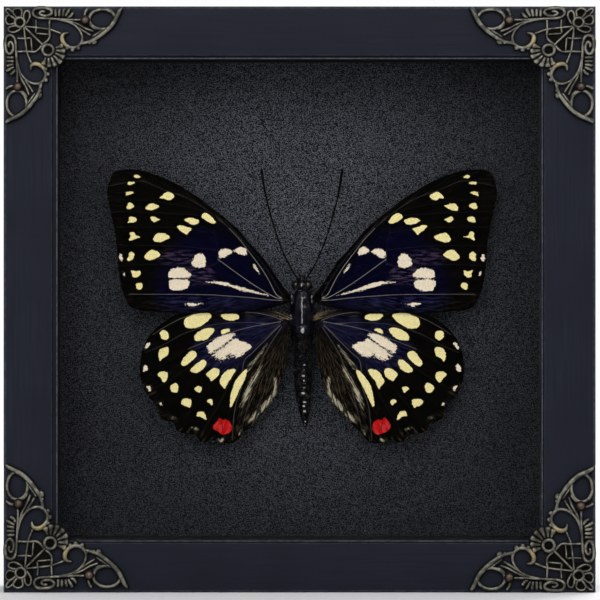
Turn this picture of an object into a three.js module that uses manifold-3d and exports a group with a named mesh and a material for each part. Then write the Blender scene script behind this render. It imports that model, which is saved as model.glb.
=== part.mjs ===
// Framed butterfly specimen, a shadow box that stands on its bottom rail.
// Millimetres, +Z up, front towards -Y. The origin is the middle of the bottom rail's underside.
import * as THREE from 'three';
import { mergeVertices } from 'three/addons/utils/BufferGeometryUtils.js';
import Module from 'manifold-3d';

const wasm = await Module();
wasm.setup();

// Frame moulding
const frameWidth = 150;
const frameHeight = 148.5;
const frameDepth = 30;
const frontY = -frameDepth / 2;
const faceWidth = 12.4; // flat face, from the outer edge
const sightWidth = 13.5; // outer edge to sight edge
const edgeRound = 0.8;
const quirkDepth = 1.0;
const beadDrop = 0.5; // the bead stands this far behind the face
const lipDepth = 4; // thickness of the lip in front of the glass
const rebateWall = 8; // wood beside the rebate
const mitreGap = 0.05; // each rail stops this far short of the mitre plane

// What lies in the rebate, as distances behind the front face
const fit = 0.3; // clearance between touching pieces
const glassThickness = 2;
const spacerFront = lipDepth + fit + glassThickness + fit;
const backingFront = 20.6;
const spacerWidth = 4.9;
const backingThickness = 0.8;
const foamThickness = 4;
const panelThickness = 2;
const rebateHalfX = frameWidth / 2 - rebateWall - fit;
const rebateHalfZ = frameHeight / 2 - rebateWall - fit;
const midZ = frameHeight / 2;
const foamFront = backingFront + backingThickness + fit;
const panelFront = foamFront + foamThickness + fit;
const panelBack = panelFront + panelThickness;

// Framer's tabs and hanger
const tabLength = 11;
const tabWidth = 5;
const tabThickness = 0.5;
const tabSpread = 36; // from the middle of a side
const hangerWidth = 45;
const hangerHeight = 9;
const hangerThickness = 0.7;
const hangerTeeth = 11;

// Corner ornaments
const ornamentThickness = 1.1;
const ornamentInset = 0.15; // from the outer edges of the frame
const ornamentGap = 0.2; // glue line on the rail's face

// Butterfly
const butterflyX = 0.6; // the body stands slightly right of the middle
const butterflyZ = 72.8; // height of the wing hinge line
const wingThickness = 0.3;
const wingRays = 30;
const wingSteps = [0.035, 0.28, 0.52, 0.76, 1]; // fractions of each ray, from hinge to margin
const flute = 0.16; // vein ridges stand this far from the membrane's mean
const hingeDepth = { fore: -0.75, hind: 0.35 }; // depth of the wing hinges, in Y
const bodyDepth = 0.9; // depth of the body's axis, in Y

const finish = (color, roughness, metalness = 0) =>
  new THREE.MeshStandardMaterial({ color, roughness, metalness });

const paint = finish(0x202229, 0.45);
const bronze = finish(0x6b6248, 0.42, 0.9);
const glazing = finish(0xffffff, 0.02);
Object.assign(glazing, { transparent: true, opacity: 0.15 });
const blackCard = finish(0x0b0b0c, 0.9);
const leatherette = finish(0x2c2d2f, 0.6);
const foam = finish(0x1a1a1a, 0.9);
const hardboard = finish(0x6a4a30, 0.85);
const steel = finish(0x9a9a98, 0.35, 1);
const wing = finish(0x0c0906, 0.6);
const chitin = finish(0x08080a, 0.25);
const glue = finish(0x2a2622, 0.5);

const object = new THREE.Group();

function add(name, geometry, material, position = [0, 0, 0], parent = object) {
  const mesh = new THREE.Mesh(geometry, material);
  mesh.name = name;
  mesh.position.set(...position);
  parent.add(mesh);
  return mesh;
}

const depth = (fromFront) => frontY + fromFront;
const points = (list) => list.map(([x, y]) => new THREE.Vector2(x, y));
const ring = (count, place) => Array.from({ length: count }, (_, i) => place((i / count) * 2 * Math.PI));

// ---- Solids for joining

function solid(geometry) {
  const bare = geometry.clone();
  bare.deleteAttribute('normal');
  bare.deleteAttribute('uv');
  const merged = mergeVertices(bare, 1e-4);
  return new wasm.Manifold(new wasm.Mesh({
    numProp: 3,
    vertProperties: new Float32Array(merged.attributes.position.array),
    triVerts: new Uint32Array(merged.index.array),
  }));
}

function joined(geometries) {
  const whole = geometries.map(solid).reduce((sum, piece) => sum.add(piece));
  const mesh = whole.getMesh();
  const geometry = new THREE.BufferGeometry();
  geometry.setAttribute('position', new THREE.BufferAttribute(new Float32Array(mesh.vertProperties), 3));
  geometry.setIndex(new THREE.BufferAttribute(new Uint32Array(mesh.triVerts), 1));
  return geometry;
}

// A closed solid through a row of rings that have the same number of points.
function loft(rings) {
  const count = rings[0].length;
  const vertices = rings.flat().flatMap((p) => [p.x, p.y, p.z]);
  const faces = [];
  for (let r = 0; r + 1 < rings.length; r += 1) {
    for (let i = 0; i < count; i += 1) {
      const a = r * count + i;
      const b = r * count + ((i + 1) % count);
      faces.push(a, b, b + count, a, b + count, a + count);
    }
  }
  const last = (rings.length - 1) * count;
  for (let i = 1; i + 1 < count; i += 1) {
    faces.push(0, i + 1, i, last, last + i, last + i + 1);
  }
  const geometry = new THREE.BufferGeometry();
  geometry.setAttribute('position', new THREE.Float32BufferAttribute(vertices, 3));
  geometry.setIndex(faces);
  return geometry;
}

// A tapering round rod along a smooth curve.
function rod(route, radiusAt, sides, steps) {
  const curve = new THREE.CatmullRomCurve3(route.map((p) => new THREE.Vector3(...p)));
  const frames = curve.computeFrenetFrames(steps, false);
  const rings = Array.from({ length: steps + 1 }, (_, k) => {
    const centre = curve.getPointAt(k / steps);
    return ring(sides, (angle) => centre.clone()
      .addScaledVector(frames.normals[k], Math.cos(angle) * radiusAt(k / steps))
      .addScaledVector(frames.binormals[k], Math.sin(angle) * radiusAt(k / steps)));
  });
  return loft(rings);
}

function ball(radius, scale, centre, sides = 10, bands = 6) {
  return new THREE.SphereGeometry(radius, sides, bands).scale(...scale).translate(...centre);
}

// ---- Frame rails

// Section of the moulding: x is the distance in from the outer edge, y is minus the distance from the front.
function railSection() {
  const quirk = faceWidth + 0.25;
  const bead = quirk + 0.3;
  return points([
    [0, -frameDepth], [0, -edgeRound], [edgeRound * 0.3, -edgeRound * 0.3], [edgeRound, 0],
    [faceWidth, 0], [quirk, -quirkDepth], [bead, -quirkDepth], [bead + 0.1, -beadDrop],
    [sightWidth - 0.1, -beadDrop], [sightWidth, -beadDrop - 0.25], [sightWidth, -lipDepth],
    [rebateWall, -lipDepth], [rebateWall, -frameDepth],
  ]);
}

// The two ends are cut back by the distance in from the outer edge, which makes the mitres.
function rail(length) {
  const geometry = new THREE.ExtrudeGeometry(new THREE.Shape(railSection()), {
    depth: length, bevelEnabled: false, steps: 1,
  }).translate(0, 0, -length / 2);
  const place = geometry.attributes.position;
  for (let i = 0; i < place.count; i += 1) {
    const reach = length / 2 - place.getX(i) - mitreGap;
    place.setZ(i, Math.sign(place.getZ(i)) * reach);
  }
  return geometry;
}

function addRails() {
  const sides = [
    { name: 'rail_bottom', inward: [0, 0, 1], length: frameWidth, at: [0, frontY, 0] },
    { name: 'rail_top', inward: [0, 0, -1], length: frameWidth, at: [0, frontY, frameHeight] },
    { name: 'rail_left', inward: [1, 0, 0], length: frameHeight, at: [-frameWidth / 2, frontY, midZ] },
    { name: 'rail_right', inward: [-1, 0, 0], length: frameHeight, at: [frameWidth / 2, frontY, midZ] },
  ];
  const front = new THREE.Vector3(0, -1, 0);
  for (const side of sides) {
    const inward = new THREE.Vector3(...side.inward);
    const along = inward.clone().cross(front);
    const mesh = add(side.name, rail(side.length), paint, side.at);
    mesh.quaternion.setFromRotationMatrix(new THREE.Matrix4().makeBasis(inward, front, along));
  }
}

// ---- Glass, spacers, backing and back

function sheet(name, material, fromFront, thickness, half = [rebateHalfX, rebateHalfZ]) {
  const box = new THREE.BoxGeometry(2 * half[0], thickness, 2 * half[1]);
  add(name, box, material, [0, depth(fromFront + thickness / 2), midZ]);
}

function addSpacers() {
  const run = backingFront - fit - spacerFront;
  const y = depth(spacerFront + run / 2);
  const offZ = rebateHalfZ - spacerWidth / 2;
  const offX = rebateHalfX - spacerWidth / 2;
  const across = new THREE.BoxGeometry(2 * rebateHalfX, run, spacerWidth);
  const upright = new THREE.BoxGeometry(spacerWidth, run, 2 * (rebateHalfZ - spacerWidth - fit));
  add('spacer_top', across, blackCard, [0, y, midZ + offZ]);
  add('spacer_bottom', across, blackCard, [0, y, midZ - offZ]);
  add('spacer_left', upright, blackCard, [-offX, y, midZ]);
  add('spacer_right', upright, blackCard, [offX, y, midZ]);
}

// Each tab lies on the back panel with its outer end close to the rebate wall.
function addTabs() {
  const plate = new THREE.Shape(points([
    [-tabLength / 2, -tabWidth / 2], [tabLength / 2 - 2, -tabWidth / 2], [tabLength / 2, -tabWidth / 4],
    [tabLength / 2, tabWidth / 4], [tabLength / 2 - 2, tabWidth / 2], [-tabLength / 2, tabWidth / 2],
  ]));
  const y = depth(panelBack + fit);
  let number = 0;
  for (const side of [0, 1, 2, 3]) {
    const upright = side % 2 === 1;
    const reach = (upright ? rebateHalfZ : rebateHalfX) - tabLength / 2;
    const turn = (side * Math.PI) / 2;
    for (const shift of [-tabSpread, tabSpread]) {
      number += 1;
      const geometry = new THREE.ExtrudeGeometry(plate, { depth: tabThickness, bevelEnabled: false })
        .translate(reach, shift, 0).rotateZ(turn).rotateX(Math.PI / 2).translate(0, y + tabThickness, midZ);
      add(`tab_${number}`, geometry, steel);
    }
  }
}

// A sawtooth hanger: a bar with a raised, toothed lower edge, nailed to the top of the back panel.
function addHanger() {
  const outline = [[-hangerWidth / 2, 0], [-hangerWidth / 2, -hangerHeight]];
  const toothRun = hangerWidth * 0.56;
  outline.push([-toothRun / 2 - 2, -hangerHeight], [-toothRun / 2, -hangerHeight * 0.45]);
  for (let i = 0; i < hangerTeeth; i += 1) {
    const x = -toothRun / 2 + ((i + 0.5) * toothRun) / hangerTeeth;
    outline.push([x, -hangerHeight * 0.65], [x + toothRun / hangerTeeth / 2, -hangerHeight * 0.45]);
  }
  outline.push([toothRun / 2 + 2, -hangerHeight], [hangerWidth / 2, -hangerHeight], [hangerWidth / 2, 0]);
  const top = midZ + rebateHalfZ - 12;
  const front = depth(panelBack + fit);
  const bar = new THREE.ExtrudeGeometry(new THREE.Shape(points(outline)), {
    depth: hangerThickness, bevelEnabled: false,
  }).rotateX(Math.PI / 2).translate(0, front + hangerThickness, top);
  add('hanger', bar, steel);
  for (const [name, side] of [['hanger_nail_left', -1], ['hanger_nail_right', 1]]) {
    const head = new THREE.LatheGeometry(points([[0, 0], [1.6, 0], [1.3, 0.5], [0.6, 0.7], [0, 0.7]]), 10)
      .translate(side * (hangerWidth / 2 - 4), front + hangerThickness + 0.2, top - hangerHeight / 2);
    add(name, head, steel);
  }
}

// ---- Corner ornaments

// One half of the pierced outline, from the outer corner along one rail and back to the diagonal.
// Coordinates run along the two frame edges from the corner. The other half mirrors it in the diagonal.
const ornamentEdge = [
  [0.6, 0.4], [0.9, 0.2], [2.3, 0.4], [3.6, 0.8], [4.7, 0.4], [6.2, 0.7], [7.3, 1.6], [7.5, 2.8], [8.1, 2.4],
  [7.9, 1.3], [8.8, 0.3], [12.4, 0.1], [13.8, 1], [14.3, 0], [17.8, 0], [19.5, 1.4], [18.7, 3], [21.3, 2.9],
  [22.4, 0.8], [22.9, 0], [32.1, 0], [31.6, 1.8], [31.2, 3.7], [30.2, 5.6], [28.3, 7.3], [25.4, 8.7],
  [25.1, 10.2], [23.1, 9.9], [20.9, 10.9], [19.9, 11.8], [17.8, 12], [18.1, 14], [17.1, 15.6],
];

// Openings of that half, each a centre and half sizes.
const ornamentHoles = [
  { at: [3.9, 1.7], size: [0.65, 0.5], sides: 6 },
  { at: [6.1, 2.2], size: [0.45, 0.8], sides: 6 },
  { at: [8.2, 4.1], size: [0.75, 0.65], sides: 4 },
  { at: [10.8, 4.8], size: [0.8, 0.6], sides: 4 },
  { at: [10.7, 6.9], size: [0.9, 0.55], sides: 4 },
  { at: [10.6, 8.6], size: [0.7, 0.4], sides: 4 },
  { at: [8.2, 6.5], size: [0.6, 0.5], sides: 4 },
  { at: [14.1, 8.5], size: [0.9, 1.3], sides: 6 },
  { at: [14.9, 5.5], size: [1.9, 0.8], sides: 6 },
  { at: [18.3, 8.2], size: [1.7, 1.9], sides: 8 },
  { at: [22.9, 8.2], size: [1.1, 0.8], sides: 6 },
  { at: [26.6, 3.6], size: [3, 2.1], sides: 10 },
];

// Openings on the diagonal.
const ornamentMiddleHoles = [
  { at: [1.9, 1.9], size: [0.6, 0.6], sides: 6 },
  { at: [4.4, 4.4], size: [0.95, 0.95], sides: 8 },
  { at: [11.9, 11.9], size: [1.05, 1.05], sides: 8 },
];

const ornamentPearls = [[22.3, 3.6], [3.6, 22.3]];
const pearlRadius = 1.15;
const pearlHeight = 1.1; // of the centre, above the ornament's back
const shellPetals = { centre: 11.9, start: 2.2, end: 5.4, width: 0.95, count: 5, fan: 84 };
const swap = ([u, v]) => [v, u];

function ornament() {
  const outline = [...ornamentEdge, ...ornamentEdge.map(swap).reverse()];
  const shape = new THREE.Shape(points(outline));
  const mirrored = ornamentHoles.map((hole) => ({ ...hole, at: swap(hole.at), size: swap(hole.size) }));
  const pierced = [...ornamentHoles, ...mirrored, ...ornamentMiddleHoles];
  for (const { at, size, sides } of pierced) {
    const half = Math.PI / sides;
    shape.holes.push(new THREE.Path(ring(sides, (angle) => new THREE.Vector2(
      at[0] + (Math.cos(angle + half) * size[0]) / Math.cos(half),
      at[1] + (Math.sin(angle + half) * size[1]) / Math.cos(half),
    ))));
  }
  const plate = new THREE.ExtrudeGeometry(shape, { depth: ornamentThickness, bevelEnabled: false });
  const pearls = ornamentPearls.map(([u, v]) => ball(pearlRadius, [1, 1, 1], [u, v, pearlHeight], 8, 5));
  const petals = Array.from({ length: shellPetals.count }, (_, i) => {
    const turn = 45 - shellPetals.fan / 2 + (i * shellPetals.fan) / (shellPetals.count - 1);
    return new THREE.CylinderGeometry(shellPetals.width, shellPetals.width * 0.45,
      shellPetals.end - shellPetals.start, 6)
      .translate(0, (shellPetals.start + shellPetals.end) / 2, 0)
      .rotateZ(THREE.MathUtils.degToRad(turn - 90))
      .translate(shellPetals.centre, shellPetals.centre, ornamentThickness * 0.75);
  });
  return joined([plate, ...pearls, ...petals]);
}

function addOrnaments() {
  const geometry = ornament();
  const left = -frameWidth / 2 + ornamentInset;
  const low = ornamentInset;
  const high = frameHeight - ornamentInset;
  const corners = [['corner_bottom_left', left, low], ['corner_bottom_right', -left, low],
    ['corner_top_right', -left, high], ['corner_top_left', left, high]];
  corners.forEach(([name, x, z], quarter) => {
    const turned = geometry.clone().rotateZ((quarter * Math.PI) / 2).rotateX(Math.PI / 2);
    add(name, turned, bronze, [x, frontY - ornamentGap, z]);
  });
}

// ---- Butterfly, drawn as [outward from the body, up from the hinge line]

const foreOutline = [
  [3.5, 2.8], [6.2, 6.7], [9.5, 11.6], [13.4, 15.9], [18.5, 21.3], [23.6, 25.4], [28.8, 29], [33.9, 31.9],
  [39, 33.9], [42.9, 34.7], [46.8, 34.6], [48.6, 33.6], [49.5, 31.3], [49.9, 29.5], [49.7, 26.8],
  [48.9, 23.1],
  [48, 19], [47.4, 14], [47.1, 9.5], [46.5, 5.7], [45.3, 1.8], [43.7, -0.5], [41, -1.5], [36.5, -1.8],
  [26.2, -2], [15.9, -1.9], [10.3, -1.1], [5.1, 0], [3.5, 0.8],
];
const foreHinge = [3.3, 1.7];

const hindOutline = [
  [3.9, -2.7], [8.2, -1.5], [16, -0.9], [24.9, -0.9], [30, -1.8], [33.9, -3.3], [37.3, -5.8], [39.6, -8.5],
  [41, -11.8], [41.5, -15.7], [41.4, -18.8], [40.7, -21.5], [38.8, -24.1], [37.2, -26], [36.4, -28.3],
  [34.7, -29.7], [32.8, -30.6], [31.8, -32.4], [29, -32.9], [26.9, -33.8], [25.4, -35.3], [23.1, -34.6],
  [21.3, -35.2], [19.3, -35.6], [16.8, -34.8], [13.4, -31.2], [9.2, -26.7], [6.4, -22.4], [4.4, -16.7],
  [3.5, -10.8], [3.5, -4.9],
];
const hindHinge = [3.4, -3.9];

// Height of the membrane towards the viewer: it arches from the hinge and dips a little to the margin.
const arch = (fraction) => 0.9 * Math.sin(fraction * 2.3) - 0.25 * fraction;

// Rays run from the hinge to the margin, and every other one is a raised vein.
function wingSolid(outline, hinge, hingeY, side) {
  const margin = new THREE.SplineCurve(points(outline)).getSpacedPoints(wingRays);
  const rings = margin.map((end, ray) => {
    const face = wingSteps.map((fraction) => {
      const ridge = (ray % 2 ? flute : -flute) * Math.min(1, fraction * 1.5);
      return new THREE.Vector3(
        side * (hinge[0] + (end.x - hinge[0]) * fraction),
        hingeY - arch(fraction) - ridge,
        hinge[1] + (end.y - hinge[1]) * fraction,
      );
    });
    const under = face.map((p) => new THREE.Vector3(p.x, p.y + wingThickness, p.z)).reverse();
    return [...face, ...under];
  });
  return loft(side < 0 ? rings : rings.reverse());
}

// Half widths of the trunk against height, from the neck to the tip of the abdomen.
const trunk = [
  [0, 4.2], [1.7, 3.6], [2.6, 2], [3, -1], [3, -4.5], [2.6, -7.2], [1.8, -8.8],
  [2.25, -10.2], [2.1, -12.7], [2.45, -13.2], [2.2, -15.8], [2.45, -16.3], [2.2, -18.8], [2.4, -19.3],
  [2.05, -21.9], [2.2, -22.4], [1.7, -24.9], [1.75, -25.4], [1.2, -28], [1.15, -28.6], [0.5, -31], [0, -31.6],
];
const trunkFlatten = 0.98; // depth against width
const tailDrift = 0.9; // the tip of the abdomen leans this far to the right

function bodySolid() {
  const lathe = new THREE.LatheGeometry(points(trunk.map(([r, z]) => [r, z]).reverse()), 12);
  lathe.rotateX(Math.PI / 2).scale(1, trunkFlatten, 1).translate(0, bodyDepth, 0);
  const place = lathe.attributes.position;
  for (let i = 0; i < place.count; i += 1) {
    const below = Math.max(0, -10 - place.getZ(i)) / 21.6;
    place.setX(i, place.getX(i) + tailDrift * below ** 1.5);
  }
  const pieces = [lathe, ball(2.05, [1, 0.9, 0.85], [0, bodyDepth, 4.9])];
  for (const side of [-1, 1]) {
    pieces.push(ball(1.2, [0.9, 1.05, 1.1], [side * 1.6, bodyDepth - 0.3, 5], 8, 5));
    const palp = [[0.6, bodyDepth, 5.8], [0.75, bodyDepth - 0.2, 7], [0.7, bodyDepth, 8.2]];
    pieces.push(rod(palp.map(([x, y, z]) => [side * x, y, z]), (t) => 0.5 - 0.3 * t, 6, 2));
    for (const start of [1.5, -1.8, -5]) {
      pieces.push(rod([[side * 1.2, bodyDepth + 2.2, start], [side * 2.6, bodyDepth + 3.1, start - 2.4],
        [side * 2.2, bodyDepth + 3.4, start - 5.6]], () => 0.26, 5, 3));
    }
  }
  return joined(pieces);
}

const antennaRoute = [
  [1.3, 0.5, 7.2], [2.3, 0.3, 8.6], [3.7, 0.1, 11.1], [5.4, 0, 15], [7, 0, 19.6], [8.5, 0.2, 24.9],
  [9.6, 0.4, 29.7], [10.4, 0.6, 35.1],
];
const antennaRadius = 0.2;
const clubStart = 0.88; // the club takes the last part of the antenna

function antenna(side) {
  const route = antennaRoute.map(([x, y, z]) => [side * x, y, z]);
  return rod(route, (t) => (t > clubStart ? antennaRadius * 1.7 : antennaRadius), 6, 16);
}

function addButterfly() {
  const specimen = new THREE.Group();
  specimen.position.set(butterflyX, 0, butterflyZ);
  object.add(specimen);
  add('butterfly_body', bodySolid(), chitin, [0, 0, 0], specimen);
  for (const [name, side] of [['left', -1], ['right', 1]]) {
    const fore = wingSolid(foreOutline, foreHinge, hingeDepth.fore, side);
    const hind = wingSolid(hindOutline, hindHinge, hingeDepth.hind, side);
    add(`forewing_${name}`, fore, wing, [0, 0, 0], specimen);
    add(`hindwing_${name}`, hind, wing, [0, 0, 0], specimen);
    add(`antenna_${name}`, antenna(side), chitin, [0, 0, 0], specimen);
  }
  const padFront = bodyDepth + 3.3;
  const padBack = depth(backingFront) - 0.1;
  const pad = new THREE.CylinderGeometry(1.6, 2, padBack - padFront, 12)
    .rotateX(Math.PI).translate(0, (padFront + padBack) / 2, -2.5);
  add('glue_pad', pad, glue, [0, 0, 0], specimen);
}

addRails();
addOrnaments();
sheet('glass', glazing, lipDepth + fit, glassThickness);
addSpacers();
sheet('backing_sheet', leatherette, backingFront, backingThickness);
sheet('foam_board', foam, foamFront, foamThickness);
sheet('back_panel', hardboard, panelFront, panelThickness);
addTabs();
addHanger();
addButterfly();

export default object;
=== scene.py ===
import math
import random

import bmesh
import bpy
import numpy as np
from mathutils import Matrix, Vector
from mathutils.geometry import delaunay_2d_cdt
from mathutils.kdtree import KDTree


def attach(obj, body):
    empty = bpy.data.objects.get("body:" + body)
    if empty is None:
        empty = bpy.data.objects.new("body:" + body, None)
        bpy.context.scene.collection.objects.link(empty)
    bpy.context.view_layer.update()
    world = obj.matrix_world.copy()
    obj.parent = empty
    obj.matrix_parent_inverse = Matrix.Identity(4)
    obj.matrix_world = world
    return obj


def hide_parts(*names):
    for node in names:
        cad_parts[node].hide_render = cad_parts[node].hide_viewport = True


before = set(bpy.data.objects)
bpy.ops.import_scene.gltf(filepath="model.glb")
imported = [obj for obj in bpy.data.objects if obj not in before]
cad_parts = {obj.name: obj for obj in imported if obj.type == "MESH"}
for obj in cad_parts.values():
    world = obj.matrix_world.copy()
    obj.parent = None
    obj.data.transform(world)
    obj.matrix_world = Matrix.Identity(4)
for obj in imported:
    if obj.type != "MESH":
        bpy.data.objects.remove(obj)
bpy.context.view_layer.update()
mm = 0.001
print("frame loaded")

# Shared sizes of the box, in millimetres. x and z run as in the frame, y is depth with the front at -15.
box = {"width": 150.0, "height": 148.5, "depth": 30.0}
frontY = -box["depth"] / 2


# Small helpers for node trees

def plug(tree, socket, value):
    if isinstance(value, bpy.types.NodeSocket):
        tree.links.new(value, socket)
    elif isinstance(value, tuple) and len(value) == 3 and socket.type == "RGBA":
        socket.default_value = (*value, 1)
    else:
        socket.default_value = value


def node(tree, kind, inputs=None, **settings):
    made = tree.nodes.new(kind)
    for key, value in settings.items():
        setattr(made, key, value)
    for key, value in (inputs or {}).items():
        plug(tree, made.inputs[key], value)
    return made


def maths(tree, operation, first, second=0.5):
    return node(tree, "ShaderNodeMath", {0: first, 1: second}, operation=operation).outputs[0]


def times(tree, first, second):
    return maths(tree, "MULTIPLY", first, second)


def plus(tree, first, second):
    return maths(tree, "ADD", first, second)


def minus(tree, first, second):
    return maths(tree, "SUBTRACT", first, second)


def vectors(tree, operation, first, second):
    return node(tree, "ShaderNodeVectorMath", {0: first, 1: second}, operation=operation).outputs


def combine(tree, x, y, z):
    return node(tree, "ShaderNodeCombineXYZ", {0: x, 1: y, 2: z}).outputs[0]


def objectPlace(tree):
    return node(tree, "ShaderNodeTexCoord").outputs["Object"]


def mix(tree, factor, first, second, blend="MIX"):
    inputs = {0: factor, 6: first, 7: second}
    return node(tree, "ShaderNodeMix", inputs, data_type="RGBA", blend_type=blend).outputs[2]


# Runs smoothly from start to end while the value goes from low to high.
def rise(tree, value, low, high, start=0.0, end=1.0):
    inputs = {0: value, 1: low, 2: high, 3: start, 4: end}
    return node(tree, "ShaderNodeMapRange", inputs, interpolation_type="SMOOTHSTEP").outputs[0]


def noise(tree, where, scale, detail=2.0, roughness=0.5):
    inputs = {"Vector": where, "Scale": scale, "Detail": detail, "Roughness": roughness}
    return node(tree, "ShaderNodeTexNoise", inputs).outputs[0]


def attribute(tree, name, vector=False):
    return node(tree, "ShaderNodeAttribute", attribute_name=name).outputs["Vector" if vector else "Fac"]


def bump(tree, height, depth, strength=1.0):
    inputs = {"Height": height, "Distance": depth * mm, "Strength": strength}
    return node(tree, "ShaderNodeBump", inputs).outputs[0]


def shaderGroup(name, inputs, outputs):
    tree = bpy.data.node_groups.new(name, "ShaderNodeTree")
    for label, value in inputs.items():
        kind = "NodeSocketVector" if isinstance(value, tuple) else "NodeSocketFloat"
        tree.interface.new_socket(label, in_out="INPUT", socket_type=kind).default_value = value
    for label in outputs:
        tree.interface.new_socket(label, in_out="OUTPUT", socket_type="NodeSocketFloat")
    return tree, node(tree, "NodeGroupInput").outputs, node(tree, "NodeGroupOutput").inputs


def use(tree, group, **inputs):
    made = node(tree, "ShaderNodeGroup", node_tree=group)
    for key, value in inputs.items():
        plug(tree, made.inputs[key], value)
    return made.outputs


def material(name):
    made = bpy.data.materials.new(name)
    made.use_nodes = True
    surface = next(n for n in made.node_tree.nodes if n.type == "BSDF_PRINCIPLED")
    return made, made.node_tree, surface


def dress(tree, surface, **inputs):
    for key, value in inputs.items():
        plug(tree, surface.inputs[key.replace("_", " ")], value)


# Shader groups that several finishes share

# Noise in object coordinates, stretched and sharpened: grain, fibres, brushing, blotches.
def makeGrain():
    inputs = {"Scale": 100.0, "Stretch": (1.0, 1.0, 1.0), "Detail": 3.0, "Softness": 0.2}
    tree, given, out = shaderGroup("grain", inputs, ["Mask", "Height"])
    where = vectors(tree, "MULTIPLY", objectPlace(tree), given["Stretch"])[0]
    cloud = noise(tree, where, given["Scale"], given["Detail"])
    low = minus(tree, 0.5, given["Softness"])
    high = plus(tree, 0.5, given["Softness"])
    tree.links.new(rise(tree, cloud, low, high), out["Mask"])
    tree.links.new(cloud, out["Height"])
    return tree


# How squarely the surface faces a direction, for rubbed high places and the painted shade on their
# flanks.
def makeFacing():
    inputs = {"Direction": (0.0, -1.0, 0.0), "Low": 0.2, "High": 0.9}
    tree, given, out = shaderGroup("facing", inputs, ["Mask"])
    normal = node(tree, "ShaderNodeNewGeometry").outputs["Normal"]
    dot = vectors(tree, "DOT_PRODUCT", normal, given["Direction"])["Value"]
    tree.links.new(rise(tree, dot, given["Low"], given["High"]), out["Mask"])
    return tree


# Rounded pebbles with creases between them, blended with a finer noise.
def makePebbles():
    tree, given, out = shaderGroup("pebbles", {"Scale": 1500.0, "Blend": 0.5}, ["Height"])
    where = objectPlace(tree)
    warp = node(tree, "ShaderNodeTexNoise", {"Vector": where, "Scale": times(tree, given["Scale"], 0.6)})
    shift = vectors(tree, "MULTIPLY", warp.outputs["Color"], (0.7 * mm, 0.7 * mm, 0.7 * mm))[0]
    where = vectors(tree, "ADD", where, shift)[0]
    inputs = {"Vector": where, "Scale": given["Scale"], "Randomness": 1.0}
    cells = node(tree, "ShaderNodeTexVoronoi", inputs, feature="SMOOTH_F1").outputs["Distance"]
    fine = noise(tree, where, times(tree, given["Scale"], 1.7))
    domes = minus(tree, 1.0, cells)
    inputs = {0: given["Blend"], 2: domes, 3: fine}
    both = node(tree, "ShaderNodeMix", inputs, data_type="FLOAT").outputs[0]
    tree.links.new(both, out["Height"])
    return tree


# Rows of wing scales: long streaks that run out from the wing's root, and single speckles.
def makeScaleRows():
    inputs = {"Flow": (0.0, 0.0, 0.0), "Length": 0.35, "Across": 4.0}
    tree, given, out = shaderGroup("scale rows", inputs, ["Streak", "Speck", "Fray"])
    stretch = combine(tree, given["Length"], given["Across"], 1.0)
    along = vectors(tree, "MULTIPLY", given["Flow"], stretch)[0]
    tree.links.new(noise(tree, along, 1.0, 4.0, 0.55), out["Streak"])
    where = objectPlace(tree)
    tree.links.new(noise(tree, where, 5200.0, 1.0), out["Speck"])
    tree.links.new(noise(tree, where, 1900.0, 2.0, 0.6), out["Fray"])
    return tree


grain = makeGrain()
facing = makeFacing()
pebbles = makePebbles()
scaleRows = makeScaleRows()


# Finishes

# worn: the lighter colour on rubbed edges, which is also a painted highlight on the bead
framePaint = {"dark": (0.0098, 0.0112, 0.0190), "light": (0.0126, 0.0143, 0.0240),
              "grain": (0.0092, 0.0102, 0.0165), "worn": (0.078, 0.080, 0.096), "level": 0.08}


def makeFramePaint():
    made, tree, surface = material("blue-black paint")
    along = attribute(tree, "grain", vector=True)
    wood = noise(tree, along, 1.0, 4.0, 0.6)
    blotch = use(tree, grain, Scale=60.0, Detail=3.0, Softness=0.25)
    peel = use(tree, grain, Scale=2600.0, Detail=2.0)
    rub = use(tree, grain, Scale=900.0, Detail=4.0, Softness=0.06)
    colour = mix(tree, blotch["Mask"], framePaint["dark"], framePaint["light"])
    colour = mix(tree, rise(tree, wood, 0.35, 0.75), colour, framePaint["grain"])
    # rounded edges and the bead's crest take the lighter worn colour: part wear, part painted highlight
    worn = plus(tree, times(tree, rub["Mask"], 0.5), 0.4)
    edge = times(tree, attribute(tree, "rim"), worn)
    colour = mix(tree, edge, colour, framePaint["worn"])
    height = plus(tree, times(tree, wood, 0.7), times(tree, peel["Height"], 0.3))
    dress(tree, surface, Base_Color=colour, Roughness=rise(tree, wood, 0.3, 0.8, 0.42, 0.56),
          Specular_IOR_Level=framePaint["level"], Normal=bump(tree, height, 0.06, 0.5))
    return made


# Faces that look out are rubbed lighter and the flanks stay dark: wear and patina, and also painted shade
# that outlines each strand. The bright colour in patches on the rubbed tops is partly a painted
# highlight.
def makeBronze(name, dark, worn, bright, gilt, metal, level=0.5):
    made, tree, surface = material(name)
    top = use(tree, facing, Low=0.62, High=0.99)["Mask"]
    cloud = use(tree, grain, Scale=520.0, Detail=3.0, Softness=0.12)
    grit = use(tree, grain, Scale=3400.0, Detail=3.0, Softness=0.25)
    rubbed = times(tree, top, plus(tree, times(tree, grit["Mask"], 0.55), 0.45))
    shine = times(tree, times(tree, rubbed, cloud["Mask"]), 0.55)
    colour = mix(tree, rubbed, dark, worn)
    colour = mix(tree, shine, colour, bright)
    colour = mix(tree, times(tree, rubbed, attribute(tree, "gilt")), colour, gilt)
    roughness = rise(tree, rubbed, 0.0, 1.0, 0.62, 0.36)
    dress(tree, surface, Base_Color=colour, Metallic=metal, Specular_IOR_Level=level, Roughness=roughness,
          Normal=bump(tree, grit["Height"], 0.05, 0.5))
    return made


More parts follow.
